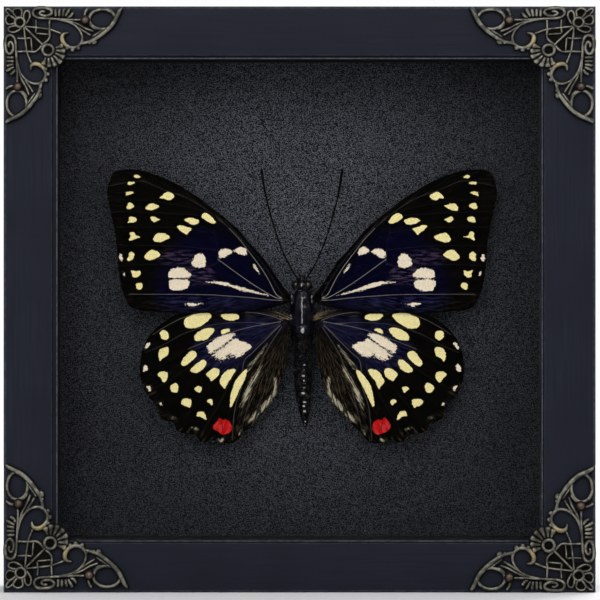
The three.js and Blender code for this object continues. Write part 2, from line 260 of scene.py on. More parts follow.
def makeGlass():
    made, tree, surface = material("clear glass")
    smear = use(tree, grain, Scale=35.0, Detail=3.0, Softness=0.35)
    colour = mix(tree, smear["Mask"], (0.985, 0.992, 0.99), (1.0, 1.0, 1.0))
    dress(tree, surface, Base_Color=colour, Roughness=0.0, IOR=1.45, Transmission_Weight=1.0)
    rays = node(tree, "ShaderNodeLightPath").outputs
    through = maths(tree, "MAXIMUM", rays["Is Shadow Ray"], rays["Is Diffuse Ray"])
    clear = node(tree, "ShaderNodeBsdfTransparent", {"Color": (0.94, 0.95, 0.95)}).outputs[0]
    both = node(tree, "ShaderNodeMixShader", {0: through, 1: surface.outputs[0], 2: clear}).outputs[0]
    end = next(n for n in tree.nodes if n.type == "OUTPUT_MATERIAL")
    tree.links.new(both, end.inputs["Surface"])
    return made


def makeBoard(name, dark, light, depth, stretch=(1.0, 1.0, 1.0), roughness=0.85):
    made, tree, surface = material(name)
    fibres = use(tree, grain, Scale=900.0, Stretch=stretch, Detail=5.0, Softness=0.22)
    blotch = use(tree, grain, Scale=45.0, Detail=3.0, Softness=0.25)
    speck = use(tree, grain, Scale=3800.0, Detail=1.0, Softness=0.08)
    colour = mix(tree, fibres["Mask"], dark, light)
    colour = mix(tree, times(tree, blotch["Mask"], 0.35), colour, dark)
    colour = mix(tree, times(tree, speck["Mask"], 0.3), colour, light)
    dress(tree, surface, Base_Color=colour, Roughness=roughness, Specular_IOR_Level=0.25,
          Normal=bump(tree, fibres["Height"], depth, 0.6))
    return made


# Fine pebbles, painted lighter on their tops as a highlight and near black in the dips between them as
# shade. The sheet is also painted darker away from a middle point, as shade.
leather = {
    "hollowShade": (0.0002, 0.0003, 0.0007), "top": (0.1130, 0.1170, 0.1420), "highlightFrom": 0.556, "highlightTo": 0.580,
    "dust": (0.0080, 0.0083, 0.0110), "dustShare": 0.12, "pebbles": 0.2, "wrinkles": 0.85, "depth": 0.2,
    "edge": (0.0006, 0.0007, 0.0010), "edgeShadeShare": 0.66,
    # in metres: the middle, how far across counts against up, and where the painted shade starts and ends
    "middle": (0.0, 0.0, 0.086), "drawn": (1.2, 0.0, 1.0), "light": 0.004, "dark": 0.084,
}


def makeLeatherette():
    made, tree, surface = material("pebbled leatherette")
    a = leather
    skin = use(tree, pebbles, Scale=2300.0, Blend=0.5)
    wrinkle = use(tree, grain, Scale=4700.0, Stretch=(0.8, 1.0, 1.35), Detail=0.0, Softness=0.1)
    cloud = use(tree, grain, Scale=70.0, Detail=2.0, Softness=0.3)
    drawn = vectors(tree, "MULTIPLY", objectPlace(tree), a["drawn"])[0]
    away = vectors(tree, "DISTANCE", drawn, a["middle"])["Value"]
    # painted shade: the sheet darkens away from its middle
    edges = rise(tree, away, a["light"], a["dark"], 0.0, a["edgeShadeShare"])
    relief = times(tree, wrinkle["Height"], a["wrinkles"])
    relief = plus(tree, relief, times(tree, skin["Height"], a["pebbles"]))
    # painted highlight on the pebble tops and painted shade in the dips
    colour = mix(tree, rise(tree, relief, a["highlightFrom"], a["highlightTo"]), a["hollowShade"], a["top"])
    colour = mix(tree, times(tree, cloud["Mask"], a["dustShare"]), colour, a["dust"])
    colour = mix(tree, edges, colour, a["edge"])
    dress(tree, surface, Base_Color=colour, Roughness=0.5, Specular_IOR_Level=0.12,
          Normal=bump(tree, relief, a["depth"], 1.0))
    return made


def makeSteel():
    made, tree, surface = material("zinc plated steel")
    brushed = use(tree, grain, Scale=700.0, Stretch=(0.15, 1.0, 1.0), Detail=4.0, Softness=0.2)
    dull = use(tree, grain, Scale=160.0, Detail=3.0, Softness=0.15)
    colour = mix(tree, brushed["Mask"], (0.42, 0.42, 0.41), (0.58, 0.58, 0.56))
    colour = mix(tree, times(tree, dull["Mask"], 0.5), colour, (0.30, 0.30, 0.29))
    roughness = rise(tree, dull["Height"], 0.3, 0.7, 0.28, 0.5)
    dress(tree, surface, Base_Color=colour, Metallic=1.0, Roughness=roughness,
          Normal=bump(tree, brushed["Height"], 0.03, 0.4))
    return made


# Black cuticle with a fine wrinkled surface, and scales that still cover it in places.
def makeCuticle(name, dark, dull, roughness, depth, level=0.5, scales=None):
    made, tree, surface = material(name)
    wrinkle = use(tree, grain, Scale=2300.0, Stretch=(1.0, 1.0, 1.6), Detail=3.0, Softness=0.2)
    cover = use(tree, grain, Scale=520.0, Detail=3.0, Softness=0.12)
    colour = mix(tree, cover["Mask"], dark, dull)
    if scales:
        speck = use(tree, grain, Scale=4600.0, Stretch=(1.0, 1.0, 0.8), Detail=1.0, Softness=0.5)
        loose = use(tree, grain, Scale=900.0, Detail=2.0, Softness=0.15)
        patchy = rise(tree, loose["Mask"], 0.0, 1.0, 0.1, 1.0)
        shown = times(tree, rise(tree, speck["Height"], 0.60, 0.66), patchy)
        colour = mix(tree, shown, colour, scales)
    shine = rise(tree, cover["Height"], 0.4, 0.65, roughness, roughness + 0.14)
    dress(tree, surface, Base_Color=colour, Roughness=shine, Specular_IOR_Level=level,
          Normal=bump(tree, wrinkle["Height"], depth, 0.5))
    return made


def makeHair(name, dark, light):
    made, tree, surface = material(name)
    strand = use(tree, grain, Scale=1500.0, Detail=2.0, Softness=0.2)
    colour = mix(tree, strand["Mask"], dark, light)
    dress(tree, surface, Base_Color=colour, Roughness=0.6, Specular_IOR_Level=0.1)
    return made


# Wing colours, darkest first. The masks come from the marking outlines as distances in millimetres.
wingColours = {
    "black": (0.0009, 0.0007, 0.0005),
    "brownBlack": (0.0034, 0.0026, 0.0018),
    "brown": (0.0620, 0.0460, 0.0290),
    "brownShade": (0.0018, 0.0013, 0.0009),
    "violet": (0.0004, 0.0003, 0.0072),
    "blue": (0.0022, 0.0018, 0.0170),
    "sheen": (0.0200, 0.0195, 0.0560),
    "mauve": (0.0520, 0.0330, 0.0620),
    "vein": (0.2400, 0.2200, 0.1950),
    "pale": (0.4300, 0.3700, 0.2600),
    "cream": (0.8000, 0.6850, 0.3200),
    "creamEdge": (0.3200, 0.2600, 0.0800),
    "white": (0.7600, 0.6450, 0.4850),
    "red": (0.4200, 0.0036, 0.0038),
    "redLow": (0.4600, 0.0300, 0.0330),
}


def makeWingScales():
    made, tree, surface = material("wing scales")
    c = wingColours
    rows = use(tree, scaleRows, Flow=attribute(tree, "flow", vector=True))
    streak = rows["Streak"]
    fray = plus(tree, minus(tree, rows["Fray"], 0.5), minus(tree, streak, 0.5))
    dots = plus(tree, fray, times(tree, minus(tree, rows["Speck"], 0.5), 0.7))
    dots = times(tree, dots, attribute(tree, "ragged"))

    # turns a distance attribute into a mask with a frayed edge, drawn in a little from the outline
    def marked(name, edge, ragged, soft=0.07, inset=0.1):
        shifted = plus(tree, attribute(tree, name), times(tree, edge, ragged))
        return rise(tree, shifted, soft - inset, -soft - inset)

    colour = mix(tree, rise(tree, streak, 0.45, 0.75), c["black"], c["brownBlack"])
    brown = mix(tree, rise(tree, streak, 0.50, 0.66), c["brownShade"], c["brown"])
    colour = mix(tree, attribute(tree, "brown"), colour, brown)
    violet = mix(tree, rise(tree, streak, 0.45, 0.75), c["violet"], c["blue"])
    sheen = times(tree, attribute(tree, "sheen"), rise(tree, streak, 0.42, 0.66))
    violet = mix(tree, sheen, violet, c["sheen"])
    colour = mix(tree, attribute(tree, "violet"), colour, violet)
    mauve = times(tree, attribute(tree, "mauve"), rise(tree, streak, 0.46, 0.60))
    colour = mix(tree, mauve, colour, c["mauve"])
    line = rise(tree, attribute(tree, "vein"), 0.15, 0.04)
    colour = mix(tree, times(tree, line, attribute(tree, "tone")), colour, c["vein"])
    thin = rise(tree, streak, 0.44, 0.58, 0.04, 1.0)
    pale = times(tree, marked("pale", fray, 0.9, 0.3, 0.0), thin)
    colour = mix(tree, pale, colour, c["pale"])
    colour = mix(tree, marked("cream", fray, 0.35, 0.16), colour, c["creamEdge"])
    colour = mix(tree, marked("cream", fray, 0.45), colour, c["cream"])
    colour = mix(tree, marked("white", dots, 0.9), colour, c["white"])
    red = mix(tree, rise(tree, streak, 0.46, 0.62), c["red"], c["redLow"])
    red = mix(tree, times(tree, line, 0.85), red, c["black"])
    colour = mix(tree, marked("red", fray, 0.6), colour, red)
    shade = rise(tree, rows["Speck"], 0.25, 0.75, 0.78, 1.14)
    colour = mix(tree, 1.0, colour, combine(tree, shade, shade, shade), "MULTIPLY")
    height = plus(tree, times(tree, streak, 0.6), times(tree, rows["Speck"], 0.4))
    dress(tree, surface, Base_Color=colour, Roughness=rise(tree, streak, 0.3, 0.7, 0.5, 0.68),
          Specular_IOR_Level=0.015, Normal=bump(tree, height, 0.05, 0.55))
    return made


paint = makeFramePaint()
gold = (0.44, 0.34, 0.15)
bronze = makeBronze("antique bronze", dark=(0.0020, 0.0018, 0.0011), worn=(0.092, 0.090, 0.074),
                    bright=(0.44, 0.42, 0.33), gilt=gold, metal=0.4)
# near-black and matt: painted shade in the gaps and ring holes of each casting
paintedShadeBronze = makeBronze("near-black bronze of painted shade", dark=(0.0012, 0.0011, 0.0007), worn=(0.0022, 0.0021, 0.0016),
                        bright=(0.0080, 0.0075, 0.0060), gilt=gold, metal=0.0, level=0.03)
copper = makeBronze("copper bead", dark=(0.012, 0.007, 0.005), worn=(0.082, 0.056, 0.043),
                    bright=(0.26, 0.17, 0.13), gilt=gold, metal=0.4)
glass = makeGlass()
card = makeBoard("black card", dark=(0.0030, 0.0030, 0.0034), light=(0.0090, 0.0090, 0.0100), depth=0.05)
foam = makeBoard("foam board", dark=(0.012, 0.012, 0.012), light=(0.03, 0.03, 0.03), depth=0.08)
hardboard = makeBoard("hardboard", dark=(0.085, 0.040, 0.017), light=(0.21, 0.115, 0.055), depth=0.12,
                      stretch=(1.0, 1.0, 0.6), roughness=0.7)
leatherette = makeLeatherette()
steel = makeSteel()
cuticle = makeCuticle("polished cuticle", dark=(0.0010, 0.0011, 0.0036), dull=(0.0022, 0.0023, 0.0074),
                      roughness=0.1, depth=0.006, level=0.8)
scaly = makeCuticle("scaly cuticle", dark=(0.0006, 0.0005, 0.0005), dull=(0.0020, 0.0017, 0.0016),
                    roughness=0.45, depth=0.1, level=0.04, scales=(0.0900, 0.0820, 0.0780))
# light grey gloss for painted highlights on the abdomen and the scutellum
paintedHighlight = makeCuticle("grey cuticle of painted highlights", dark=(0.0900, 0.0900, 0.0940), dull=(0.3600, 0.3500, 0.3450),
                   roughness=0.22, depth=0.01, level=1.0)
eyeGloss = makeCuticle("eye", dark=(0.0030, 0.0022, 0.0020), dull=(0.0100, 0.0070, 0.0055),
                       roughness=0.1, depth=0.01, level=0.7)
threadBlack = makeCuticle("antenna cuticle", dark=(0.0010, 0.0009, 0.0010), dull=(0.0026, 0.0022, 0.0020),
                          roughness=0.5, depth=0.02, level=0.05)
glueFinish = makeCuticle("dried glue", dark=(0.030, 0.027, 0.023), dull=(0.050, 0.046, 0.040),
                         roughness=0.4, depth=0.1)
hairDark = makeHair("black hair", (0.0014, 0.0012, 0.0012), (0.0090, 0.0076, 0.0066))
hairBrown = makeHair("brown hair", (0.0036, 0.0030, 0.0018), (0.0720, 0.0600, 0.0390))
hairTan = makeHair("tan hair", (0.0500, 0.0320, 0.0180), (0.4200, 0.3000, 0.1900))
wingScales = makeWingScales()
print("finishes made")


# Helpers for shapes

def linked(name, mesh):
    made = bpy.data.objects.new(name, mesh)
    bpy.context.scene.collection.objects.link(made)
    return made


def newPiece(name, vertices, faces, finishes, smooth=True, sharp=None):
    mesh = bpy.data.meshes.new(name)
    mesh.from_pydata([tuple(v) for v in vertices], [], [tuple(f) for f in faces])
    for finish in finishes:
        mesh.materials.append(finish)
    mesh.polygons.foreach_set("use_smooth", [smooth] * len(mesh.polygons))
    if sharp is not None:
        mesh.set_sharp_from_angle(angle=math.radians(sharp))
    return linked(name, mesh)


def store(mesh, name, values, kind="FLOAT"):
    layer = mesh.attributes.new(name, kind, "POINT")
    field = "value" if kind == "FLOAT" else "vector"
    layer.data.foreach_set(field, np.asarray(values, np.float32).ravel())


def finishPiece(piece, slot, *nodes):
    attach(piece, "root")
    if nodes:
        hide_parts(*nodes)


# A smooth curve through the points, in steps of about the given length. Any number of columns.
def through(points, step, closed=False):
    points = np.array(points, float)
    count = len(points)
    made = []
    for i in range(count if closed else count - 1):
        near = [i - 1, i, i + 1, i + 2]
        a, b, c, d = (points[k % count if closed else min(max(k, 0), count - 1)] for k in near)
        steps = max(1, math.ceil(np.linalg.norm((c - b)[:2]) / step))
        for t in np.arange(steps) / steps:
            bend = (2 * a - 5 * b + 4 * c - d) * t ** 2 + (3 * b - 3 * c + d - a) * t ** 3
            made.append(0.5 * (2 * b + (c - a) * t + bend))
    if not closed:
        made.append(points[-1])
    return np.array(made)


# Joins rings that have the same number of points, and closes both ends.
def loft(rings, start=0):
    count = len(rings[0])
    vertices = [p for ring in rings for p in ring]
    faces = []
    for r in range(len(rings) - 1):
        for i in range(count):
            a, b = start + r * count + i, start + r * count + (i + 1) % count
            faces.append((a, b, b + count, a + count))
    last = start + (len(rings) - 1) * count
    faces.append(tuple(start + i for i in reversed(range(count))))
    faces.append(tuple(last + i for i in range(count)))
    return vertices, faces


# Rings round a path in space, with a radius at each point.
def tube(path, radii, sides, start=0):
    path = [Vector(p) for p in path]
    last = len(path) - 1
    runs = [(path[min(i + 1, last)] - path[max(i - 1, 0)]).normalized() for i in range(last + 1)]
    across = runs[0].orthogonal().normalized()
    rings = []
    for place, run, radius in zip(path, runs, radii):
        across = (across - run * across.dot(run)).normalized()
        up = run.cross(across)
        turns = [2 * math.pi * k / sides for k in range(sides)]
        rings.append([place + (across * math.cos(a) + up * math.sin(a)) * radius for a in turns])
    return loft(rings, start)


def ball(centre, radii, around=24, bands=14, start=0):
    rings = []
    for k in range(bands + 1):
        lift = math.pi * (k / bands - 0.5)
        flat = max(math.cos(lift), 0.02)
        turns = [2 * math.pi * i / around for i in range(around)]
        rings.append([Vector((centre[0] + radii[0] * flat * math.cos(a),
                              centre[1] + radii[1] * flat * math.sin(a),
                              centre[2] + radii[2] * math.sin(lift))) for a in turns])
    return loft(rings, start)


# Gathers closed shapes for one mesh, each with the number of its finish.
def gather():
    return {"vertices": [], "faces": [], "finishes": []}


def put(into, shape, *shapeArguments, finish=0, **more):
    vertices, faces = shape(*shapeArguments, start=len(into["vertices"]), **more)
    into["vertices"] += vertices
    into["faces"] += faces
    into["finishes"] += [finish] * len(faces)


# Taper factors that round off both ends of a rod.
def roundEnds(count, share=0.12):
    t = np.linspace(0, 1, count)
    near = np.clip(np.minimum(t, 1 - t) / share, 0.02, 1)
    return np.sqrt(1 - (1 - near) ** 2)


# Geometry node trees

def geometryTree(name, inputs):
    tree = bpy.data.node_groups.new(name, "GeometryNodeTree")
    tree.interface.new_socket("Geometry", in_out="INPUT", socket_type="NodeSocketGeometry")
    for label, value in inputs.items():
        kind = {int: "NodeSocketInt", float: "NodeSocketFloat"}.get(type(value), "NodeSocketMaterial")
        socket = tree.interface.new_socket(label, in_out="INPUT", socket_type=kind)
        if value is not None:
            socket.default_value = value
    tree.interface.new_socket("Geometry", in_out="OUTPUT", socket_type="NodeSocketGeometry")
    return tree, node(tree, "NodeGroupInput").outputs, node(tree, "NodeGroupOutput").inputs


def named(tree, name, kind="FLOAT"):
    return node(tree, "GeometryNodeInputNamedAttribute", {"Name": name}, data_type=kind).outputs[0]


# Ends a tree: everything made real, in its finish.
def endTree(tree, geometry, given, out):
    solid = node(tree, "GeometryNodeRealizeInstances", {"Geometry": geometry}).outputs[0]
    inputs = {"Geometry": solid, "Material": given["Finish"]}
    tree.links.new(node(tree, "GeometryNodeSetMaterial", inputs).outputs[0], out[0])
    return tree


# Sweeps a round section along every chain of edges, as thick as the attribute "thickness" says.
def makeStrandTree():
    tree, given, out = geometryTree("cast strands", {"Sides": 8, "Relief": 1.0, "Finish": None})
    curves = node(tree, "GeometryNodeMeshToCurve", {"Mesh": given["Geometry"]}).outputs[0]
    inputs = {"Resolution": given["Sides"], "Radius": 1.0}
    section = node(tree, "GeometryNodeCurvePrimitiveCircle", inputs).outputs[0]
    inputs = {"Curve": curves, "Profile Curve": section, "Fill Caps": True,
              "Scale": named(tree, "thickness")}
    swept = node(tree, "GeometryNodeCurveToMesh", inputs).outputs[0]
    inputs = {"Geometry": swept, "Scale": combine(tree, 1.0, given["Relief"], 1.0)}
    return endTree(tree, node(tree, "GeometryNodeTransform", inputs).outputs[0], given, out)


# Sets fine hairs on a surface where "hair" is above nought. They lean along "lie".
def makeHairTree():
    inputs = {"Density": 1e7, "Length": 1.0 * mm, "Thickness": 0.02 * mm, "Ruffle": 0.3, "Seed": 1,
              "Finish": None}
    tree, given, out = geometryTree("hairs", inputs)
    inputs = {"Mesh": given["Geometry"], "Density": times(tree, named(tree, "hair"), given["Density"]),
              "Seed": given["Seed"]}
    spread = node(tree, "GeometryNodeDistributePointsOnFaces", inputs).outputs[0]
    inputs = {"Vertices": 3, "Side Segments": 2, "Depth": given["Length"],
              "Radius Bottom": given["Thickness"], "Radius Top": times(tree, given["Thickness"], 0.15)}
    cone = node(tree, "GeometryNodeMeshCone", inputs).outputs[0]
    high = given["Ruffle"]
    low = times(tree, high, -1.0)
    inputs = {0: combine(tree, low, low, low), 1: combine(tree, high, high, high), "Seed": given["Seed"]}
    shake = node(tree, "FunctionNodeRandomValue", inputs, data_type="FLOAT_VECTOR").outputs[0]
    lie = vectors(tree, "ADD", named(tree, "lie", "FLOAT_VECTOR"), shake)[0]
    turn = node(tree, "FunctionNodeAlignRotationToVector", {"Vector": lie}, axis="Z").outputs[0]
    inputs = {2: 0.55, 3: 1.3, "Seed": given["Seed"]}
    size = node(tree, "FunctionNodeRandomValue", inputs, data_type="FLOAT").outputs[1]
    inputs = {"Points": spread, "Instance": cone, "Rotation": turn, "Scale": size}
    return endTree(tree, node(tree, "GeometryNodeInstanceOnPoints", inputs).outputs[0], given, out)


# Runs a tree on a source object and keeps the result as a plain mesh.
def realised(tree, source, values, name):
    modifier = source.modifiers.new("shape", "NODES")
    modifier.node_group = tree
    for item in tree.interface.items_tree:
        if item.item_type == "SOCKET" and item.in_out == "INPUT" and item.name in values:
            modifier[item.identifier] = values[item.name]
    bpy.context.view_layer.update()
    mesh = bpy.data.meshes.new_from_object(source.evaluated_get(bpy.context.evaluated_depsgraph_get()))
    source.modifiers.remove(modifier)
    mesh.name = name
    return linked(name, mesh)


strandTree = makeStrandTree()
hairTree = makeHairTree()


# Frame rails. The section runs as (distance in, distance behind the front, how much lighter the paint is
# there: wear, and a painted highlight), in millimetres.

moulding = {
    # distance in to the inner edge of the face, and to the sight edge
    "rail_bottom": (12.6, 13.2), "rail_top": (12.5, 13.4),
    "rail_left": (12.3, 13.7), "rail_right": (13.05, 13.7),
    "edgeRound": 0.8, "innerRound": 0.2, "quirkDepth": 1.0, "quirkLip": 0.1,
    "beadRadius": 0.2, "beadDrop": 0.4, "beadGap": 0.02,
    # how much lighter the rounded edges and the bead are: wear, and a painted highlight most on the bead
    "lipDepth": 4.0, "rebateWall": 8.0, "edgeWearAndHighlight": 0.5, "beadHighlight": 1.0,
    # wood grain along the rail and across it
    "grainAlong": 0.05, "grainAcross": 1.9,
}


# A rounding of the section, lightest in its middle: wear, and a painted highlight.
def arc(centre, radius, first, last, steps, rub):
    made = []
    for k in range(steps + 1):
        a = math.radians(first + (last - first) * k / steps)
        worn = rub * math.sin(math.pi * k / steps)
        made.append((centre[0] - radius * math.cos(a), centre[1] - radius * math.sin(a), worn))
    return made


def mouldingSection(rail):
    m = moulding
    face, sight = m[rail]
    radius = m["beadRadius"]
    section = arc((m["edgeRound"], m["edgeRound"]), m["edgeRound"], 0, 90, 8, m["edgeWearAndHighlight"])
    section += arc((face - m["innerRound"], m["innerRound"]), m["innerRound"], 90, 180, 5, m["edgeWearAndHighlight"])
    section += [(face + m["quirkLip"], m["quirkDepth"], 0),
                (sight - 2 * radius - m["beadGap"], m["quirkDepth"], 0)]
    section += arc((sight - radius, m["beadDrop"] + radius), radius, 0, 180, 10, m["beadHighlight"])
    section += [(sight, m["lipDepth"], 0), (m["rebateWall"], m["lipDepth"], 0),
                (m["rebateWall"], box["depth"], 0), (0.0, box["depth"], 0)]
    return section


# The rail's ends are cut where its section meets the same points of the two rails beside it.
def makeRail(rail, start, along, inward, length, before, after):
    section = mouldingSection(rail)
    lengthways, crossways = moulding["grainAlong"], moulding["grainAcross"]
    vertices, grainPlace, rim = [], [], []
    for end, beside in enumerate((before, after)):
        for (inset, behind, rub), (reach, _, _) in zip(section, mouldingSection(beside)):
            distance = reach if end == 0 else length - reach
            place = Vector(start) + Vector(along) * distance + Vector(inward) * inset
            vertices.append((place + Vector((0, behind, 0))) * mm)
            grainPlace.append((distance * lengthways, inset * crossways, behind * crossways))
            rim.append(rub)
    count = len(section)
    faces = [(i, (i + 1) % count, count + (i + 1) % count, count + i) for i in range(count)]
    faces += [tuple(reversed(range(count))), tuple(range(count, 2 * count))]
    if Vector(along).cross(Vector(inward)).y > 0:
        faces = [tuple(reversed(f)) for f in faces]
    piece = newPiece(rail + "_moulding", vertices, faces, [paint], sharp=30)
    store(piece.data, "grain", grainPlace, "FLOAT_VECTOR")
    store(piece.data, "rim", rim)
    finishPiece(piece, "frame_paint", rail)


def makeRails():
    w, h = box["width"], box["height"]
    makeRail("rail_bottom", (-w / 2, frontY, 0), (1, 0, 0), (0, 0, 1), w, "rail_left", "rail_right")
    makeRail("rail_top", (-w / 2, frontY, h), (1, 0, 0), (0, 0, -1), w, "rail_left", "rail_right")
    makeRail("rail_left", (-w / 2, frontY, 0), (0, 0, 1), (1, 0, 0), h, "rail_bottom", "rail_top")
    makeRail("rail_right", (w / 2, frontY, 0), (0, 0, 1), (-1, 0, 0), h, "rail_bottom", "rail_top")


makeRails()
print("frame rails made")


# Corner ornaments. Points are (along one edge, along the other, half thickness) from the outer corner.

ornament = {
    "back": -15.2, "inset": 0.15, "relief": 1.2, "sides": 12, "heft": 1.42, "step": 0.3, "plate": 0.4,
    "pearl": (21.85, 3.75), "pearlRadius": 1.35, "pearlRise": 0.95, "beadRise": 0.55, "beadDepth": 0.75,
    # how far the strands stand off the back plane
    "strandRise": 0.5,
    # place on the diagonal, radius, half thickness
    "ringSmall": (4.3, 1.3, 0.34), "ringLarge": (11.85, 1.46, 0.42),
    "fan": {"centre": 11.85, "spread": 124, "petals": 7, "start": 1.9, "end": 5.3, "shorter": 0.8,
            "tip": 0.74, "plateInner": 1.4, "plateOuter": 4.2, "plateMargin": 8},
    "oval": {"centre": (26.4, 3.45), "radii": (3.5, 2.65), "thickness": 0.42},
    "flowerShadeRadius": 3.3, "giltPlace": (16.0, 9.2), "giltReach": 2.4,
    # how far each casting is drawn out along x and z, and lifted
    "draw": {"bottom_left": (0.99, 1.0, 0.6), "bottom_right": (1.0, 1.0, 0), "top_right": (1.0, 0.93, 0),
             "top_left": (0.945, 0.93, 0)},
}

# Strands of one half; the other half mirrors them in the diagonal.
halfStrands = {
    "petalEdge": [(3.7, 3.2, 0.24), (2.6, 2.0, 0.26), (2.6, 0.9, 0.26), (3.8, 0.5, 0.26),
                  (4.8, 1.1, 0.26), (4.8, 2.1, 0.26), (4.5, 3.0, 0.24)],
    "petalSide": [(5.3, 3.4, 0.26), (5.4, 2.1, 0.28), (6.0, 1.2, 0.28), (6.8, 1.5, 0.28),
                  (7.0, 2.7, 0.28), (6.5, 3.9, 0.28), (5.8, 4.9, 0.26)],
    "stemAndScroll": [
        (21.6, 3.6, 0.28), (18, 3.6, 0.3), (15, 3.45, 0.32), (12, 3.3, 0.34), (9.6, 3.15, 0.36),
        (8.2, 2.6, 0.38), (7.8, 1.6, 0.4), (8.6, 0.6, 0.42), (10.6, 0.45, 0.42), (12.4, 0.8, 0.42),
        (12.9, 1.7, 0.42), (12, 2.45, 0.4), (10.6, 2.5, 0.38), (9.6, 1.9, 0.36), (10.2, 1.3, 0.36),
        (11.3, 1.5, 0.36)],
    "crozier": [
        (13.8, 3.5, 0.24), (16.2, 3.9, 0.28), (18.4, 4.7, 0.3), (20.1, 6.2, 0.32), (21.0, 8.2, 0.36),
        (20.7, 9.9, 0.42), (19.5, 11.0, 0.46), (18.1, 11.2, 0.5), (16.6, 10.5, 0.58), (15.7, 9.2, 0.66),
        (15.7, 8.0, 0.6), (16.4, 7.3, 0.44), (17.6, 7.2, 0.2)],
    "webAlong": [(5.5, 5.4, 0.24), (9.0, 5.75, 0.26), (12.2, 6.2, 0.26), (14.0, 6.8, 0.28),
                 (15.6, 7.5, 0.28)],
    "webArc": [(12.3, 3.5, 0.28), (12.2, 6.2, 0.3), (12.3, 8.3, 0.3), (11.6, 9.4, 0.3),
               (10.5, 10.2, 0.28)],
    "webMiddle": [(8.6, 3.4, 0.24), (8.7, 5.5, 0.24), (8.5, 7.3, 0.22)],
    "webInner": [(8.5, 7.3, 0.2), (9.9, 7.4, 0.22), (12.1, 7.6, 0.22)],
    "arm": [(20.5, 10.1, 0.36), (21.6, 9.9, 0.42), (23.0, 9.5, 0.48), (24.1, 9.1, 0.58),
            (25.3, 8.3, 0.56), (26.8, 7.2, 0.6), (28.2, 5.9, 0.64), (29.5, 4.3, 0.64), (30.4, 2.5, 0.62),
            (31.1, 1.1, 0.52), (31.8, 0.3, 0.36)],
    "armLine": [(23.5, 8.4, 0.2), (25.1, 7.3, 0.26), (26.7, 6.2, 0.28)],
    "leaf": [(25.2, 6.2, 0.22), (24.1, 5.8, 0.42), (22.8, 4.6, 0.32)],
    "vein": [(16.4, 3.8, 0.24), (19.4, 4.6, 0.26), (22.0, 6.0, 0.3), (24.2, 6.8, 0.28)],
    "veinLow": [(17.6, 4.5, 0.22), (19.6, 5.5, 0.24), (21.6, 6.8, 0.26), (23.4, 7.9, 0.26)],
    "tie": [(21.6, 2.8, 0.34), (21.8, 1.6, 0.38), (22.6, 0.4, 0.36)],
    "frondFirst": [(13.9, 2.9, 0.34), (13.9, 1.8, 0.38), (13.8, 0.6, 0.34)],
    "frondSecond": [(14.9, 2.9, 0.34), (14.9, 1.8, 0.4), (14.9, 0.55, 0.36)],
    "frondThird": [(15.8, 2.9, 0.34), (15.9, 1.8, 0.4), (16.2, 0.6, 0.38)],
    "frondFourth": [(16.4, 2.9, 0.32), (16.9, 1.9, 0.38), (17.5, 0.9, 0.5)],
    "frondFifth": [(16.9, 3.0, 0.32), (17.7, 2.8, 0.38), (18.4, 2.1, 0.5)],
    "shoulder": [(20.9, 8.8, 0.28), (21.2, 9.5, 0.32), (21.9, 9.8, 0.3)],
}
# On the diagonal: the rib, and the closed petal at the outer corner.
diagonal = [(5.5, 5.5, 0.26), (8, 8, 0.28), (10.7, 10.7, 0.28)]
cornerPetal = [(3.5, 3.5, 0.24), (1.7, 2.5, 0.25), (0.7, 1.3, 0.25), (0.7, 0.7, 0.25),
               (1.3, 0.7, 0.25), (2.5, 1.7, 0.25)]
# along one edge, along the other, radius
beads = [(18.4, 2.0, 0.62), (17.5, 0.9, 0.58), (24.2, 9.5, 1.05), (23.0, 9.9, 0.6), (17.0, 11.3, 0.75),
         (18.4, 11.8, 0.8), (20.0, 11.3, 0.8)]
# outline of the thin plate behind the web, one half
webPlate = [(5.6, 5.4), (8.9, 5.8), (12.2, 6.3), (12.3, 8.3), (11.6, 9.4), (10.5, 10.3)]


def ringPoints(centre, radius, thickness, count=28):
    turns = [2 * math.pi * k / count for k in range(count)]
    return [(centre[0] + radius[0] * math.cos(a), centre[1] + radius[1] * math.sin(a), thickness)
            for a in turns]


def mirrored(points):
    return [(v, u, *rest) for u, v, *rest in points]


def fanPoint(radius, turn):
    centre = ornament["fan"]["centre"]
    return centre + radius * math.cos(turn), centre + radius * math.sin(turn)


# The shell's petals: fat towards their tips, the outer ones shorter.
def fanPetals():
    fan = ornament["fan"]
    last = fan["petals"] - 1
    made = []
    for k in range(fan["petals"]):
        side = 2 * k / last - 1
        turn = math.radians(45 + fan["spread"] / 2 * side)
        end = fan["end"] - fan["shorter"] * side ** 2
        tip = fan["tip"]
        profile = [(fan["start"], 0.28), (0.6 * end, 0.42), (0.84 * end, tip), (end, tip - 0.05)]
        made.append([(*fanPoint(r, turn), w) for r, w in profile])
    return made


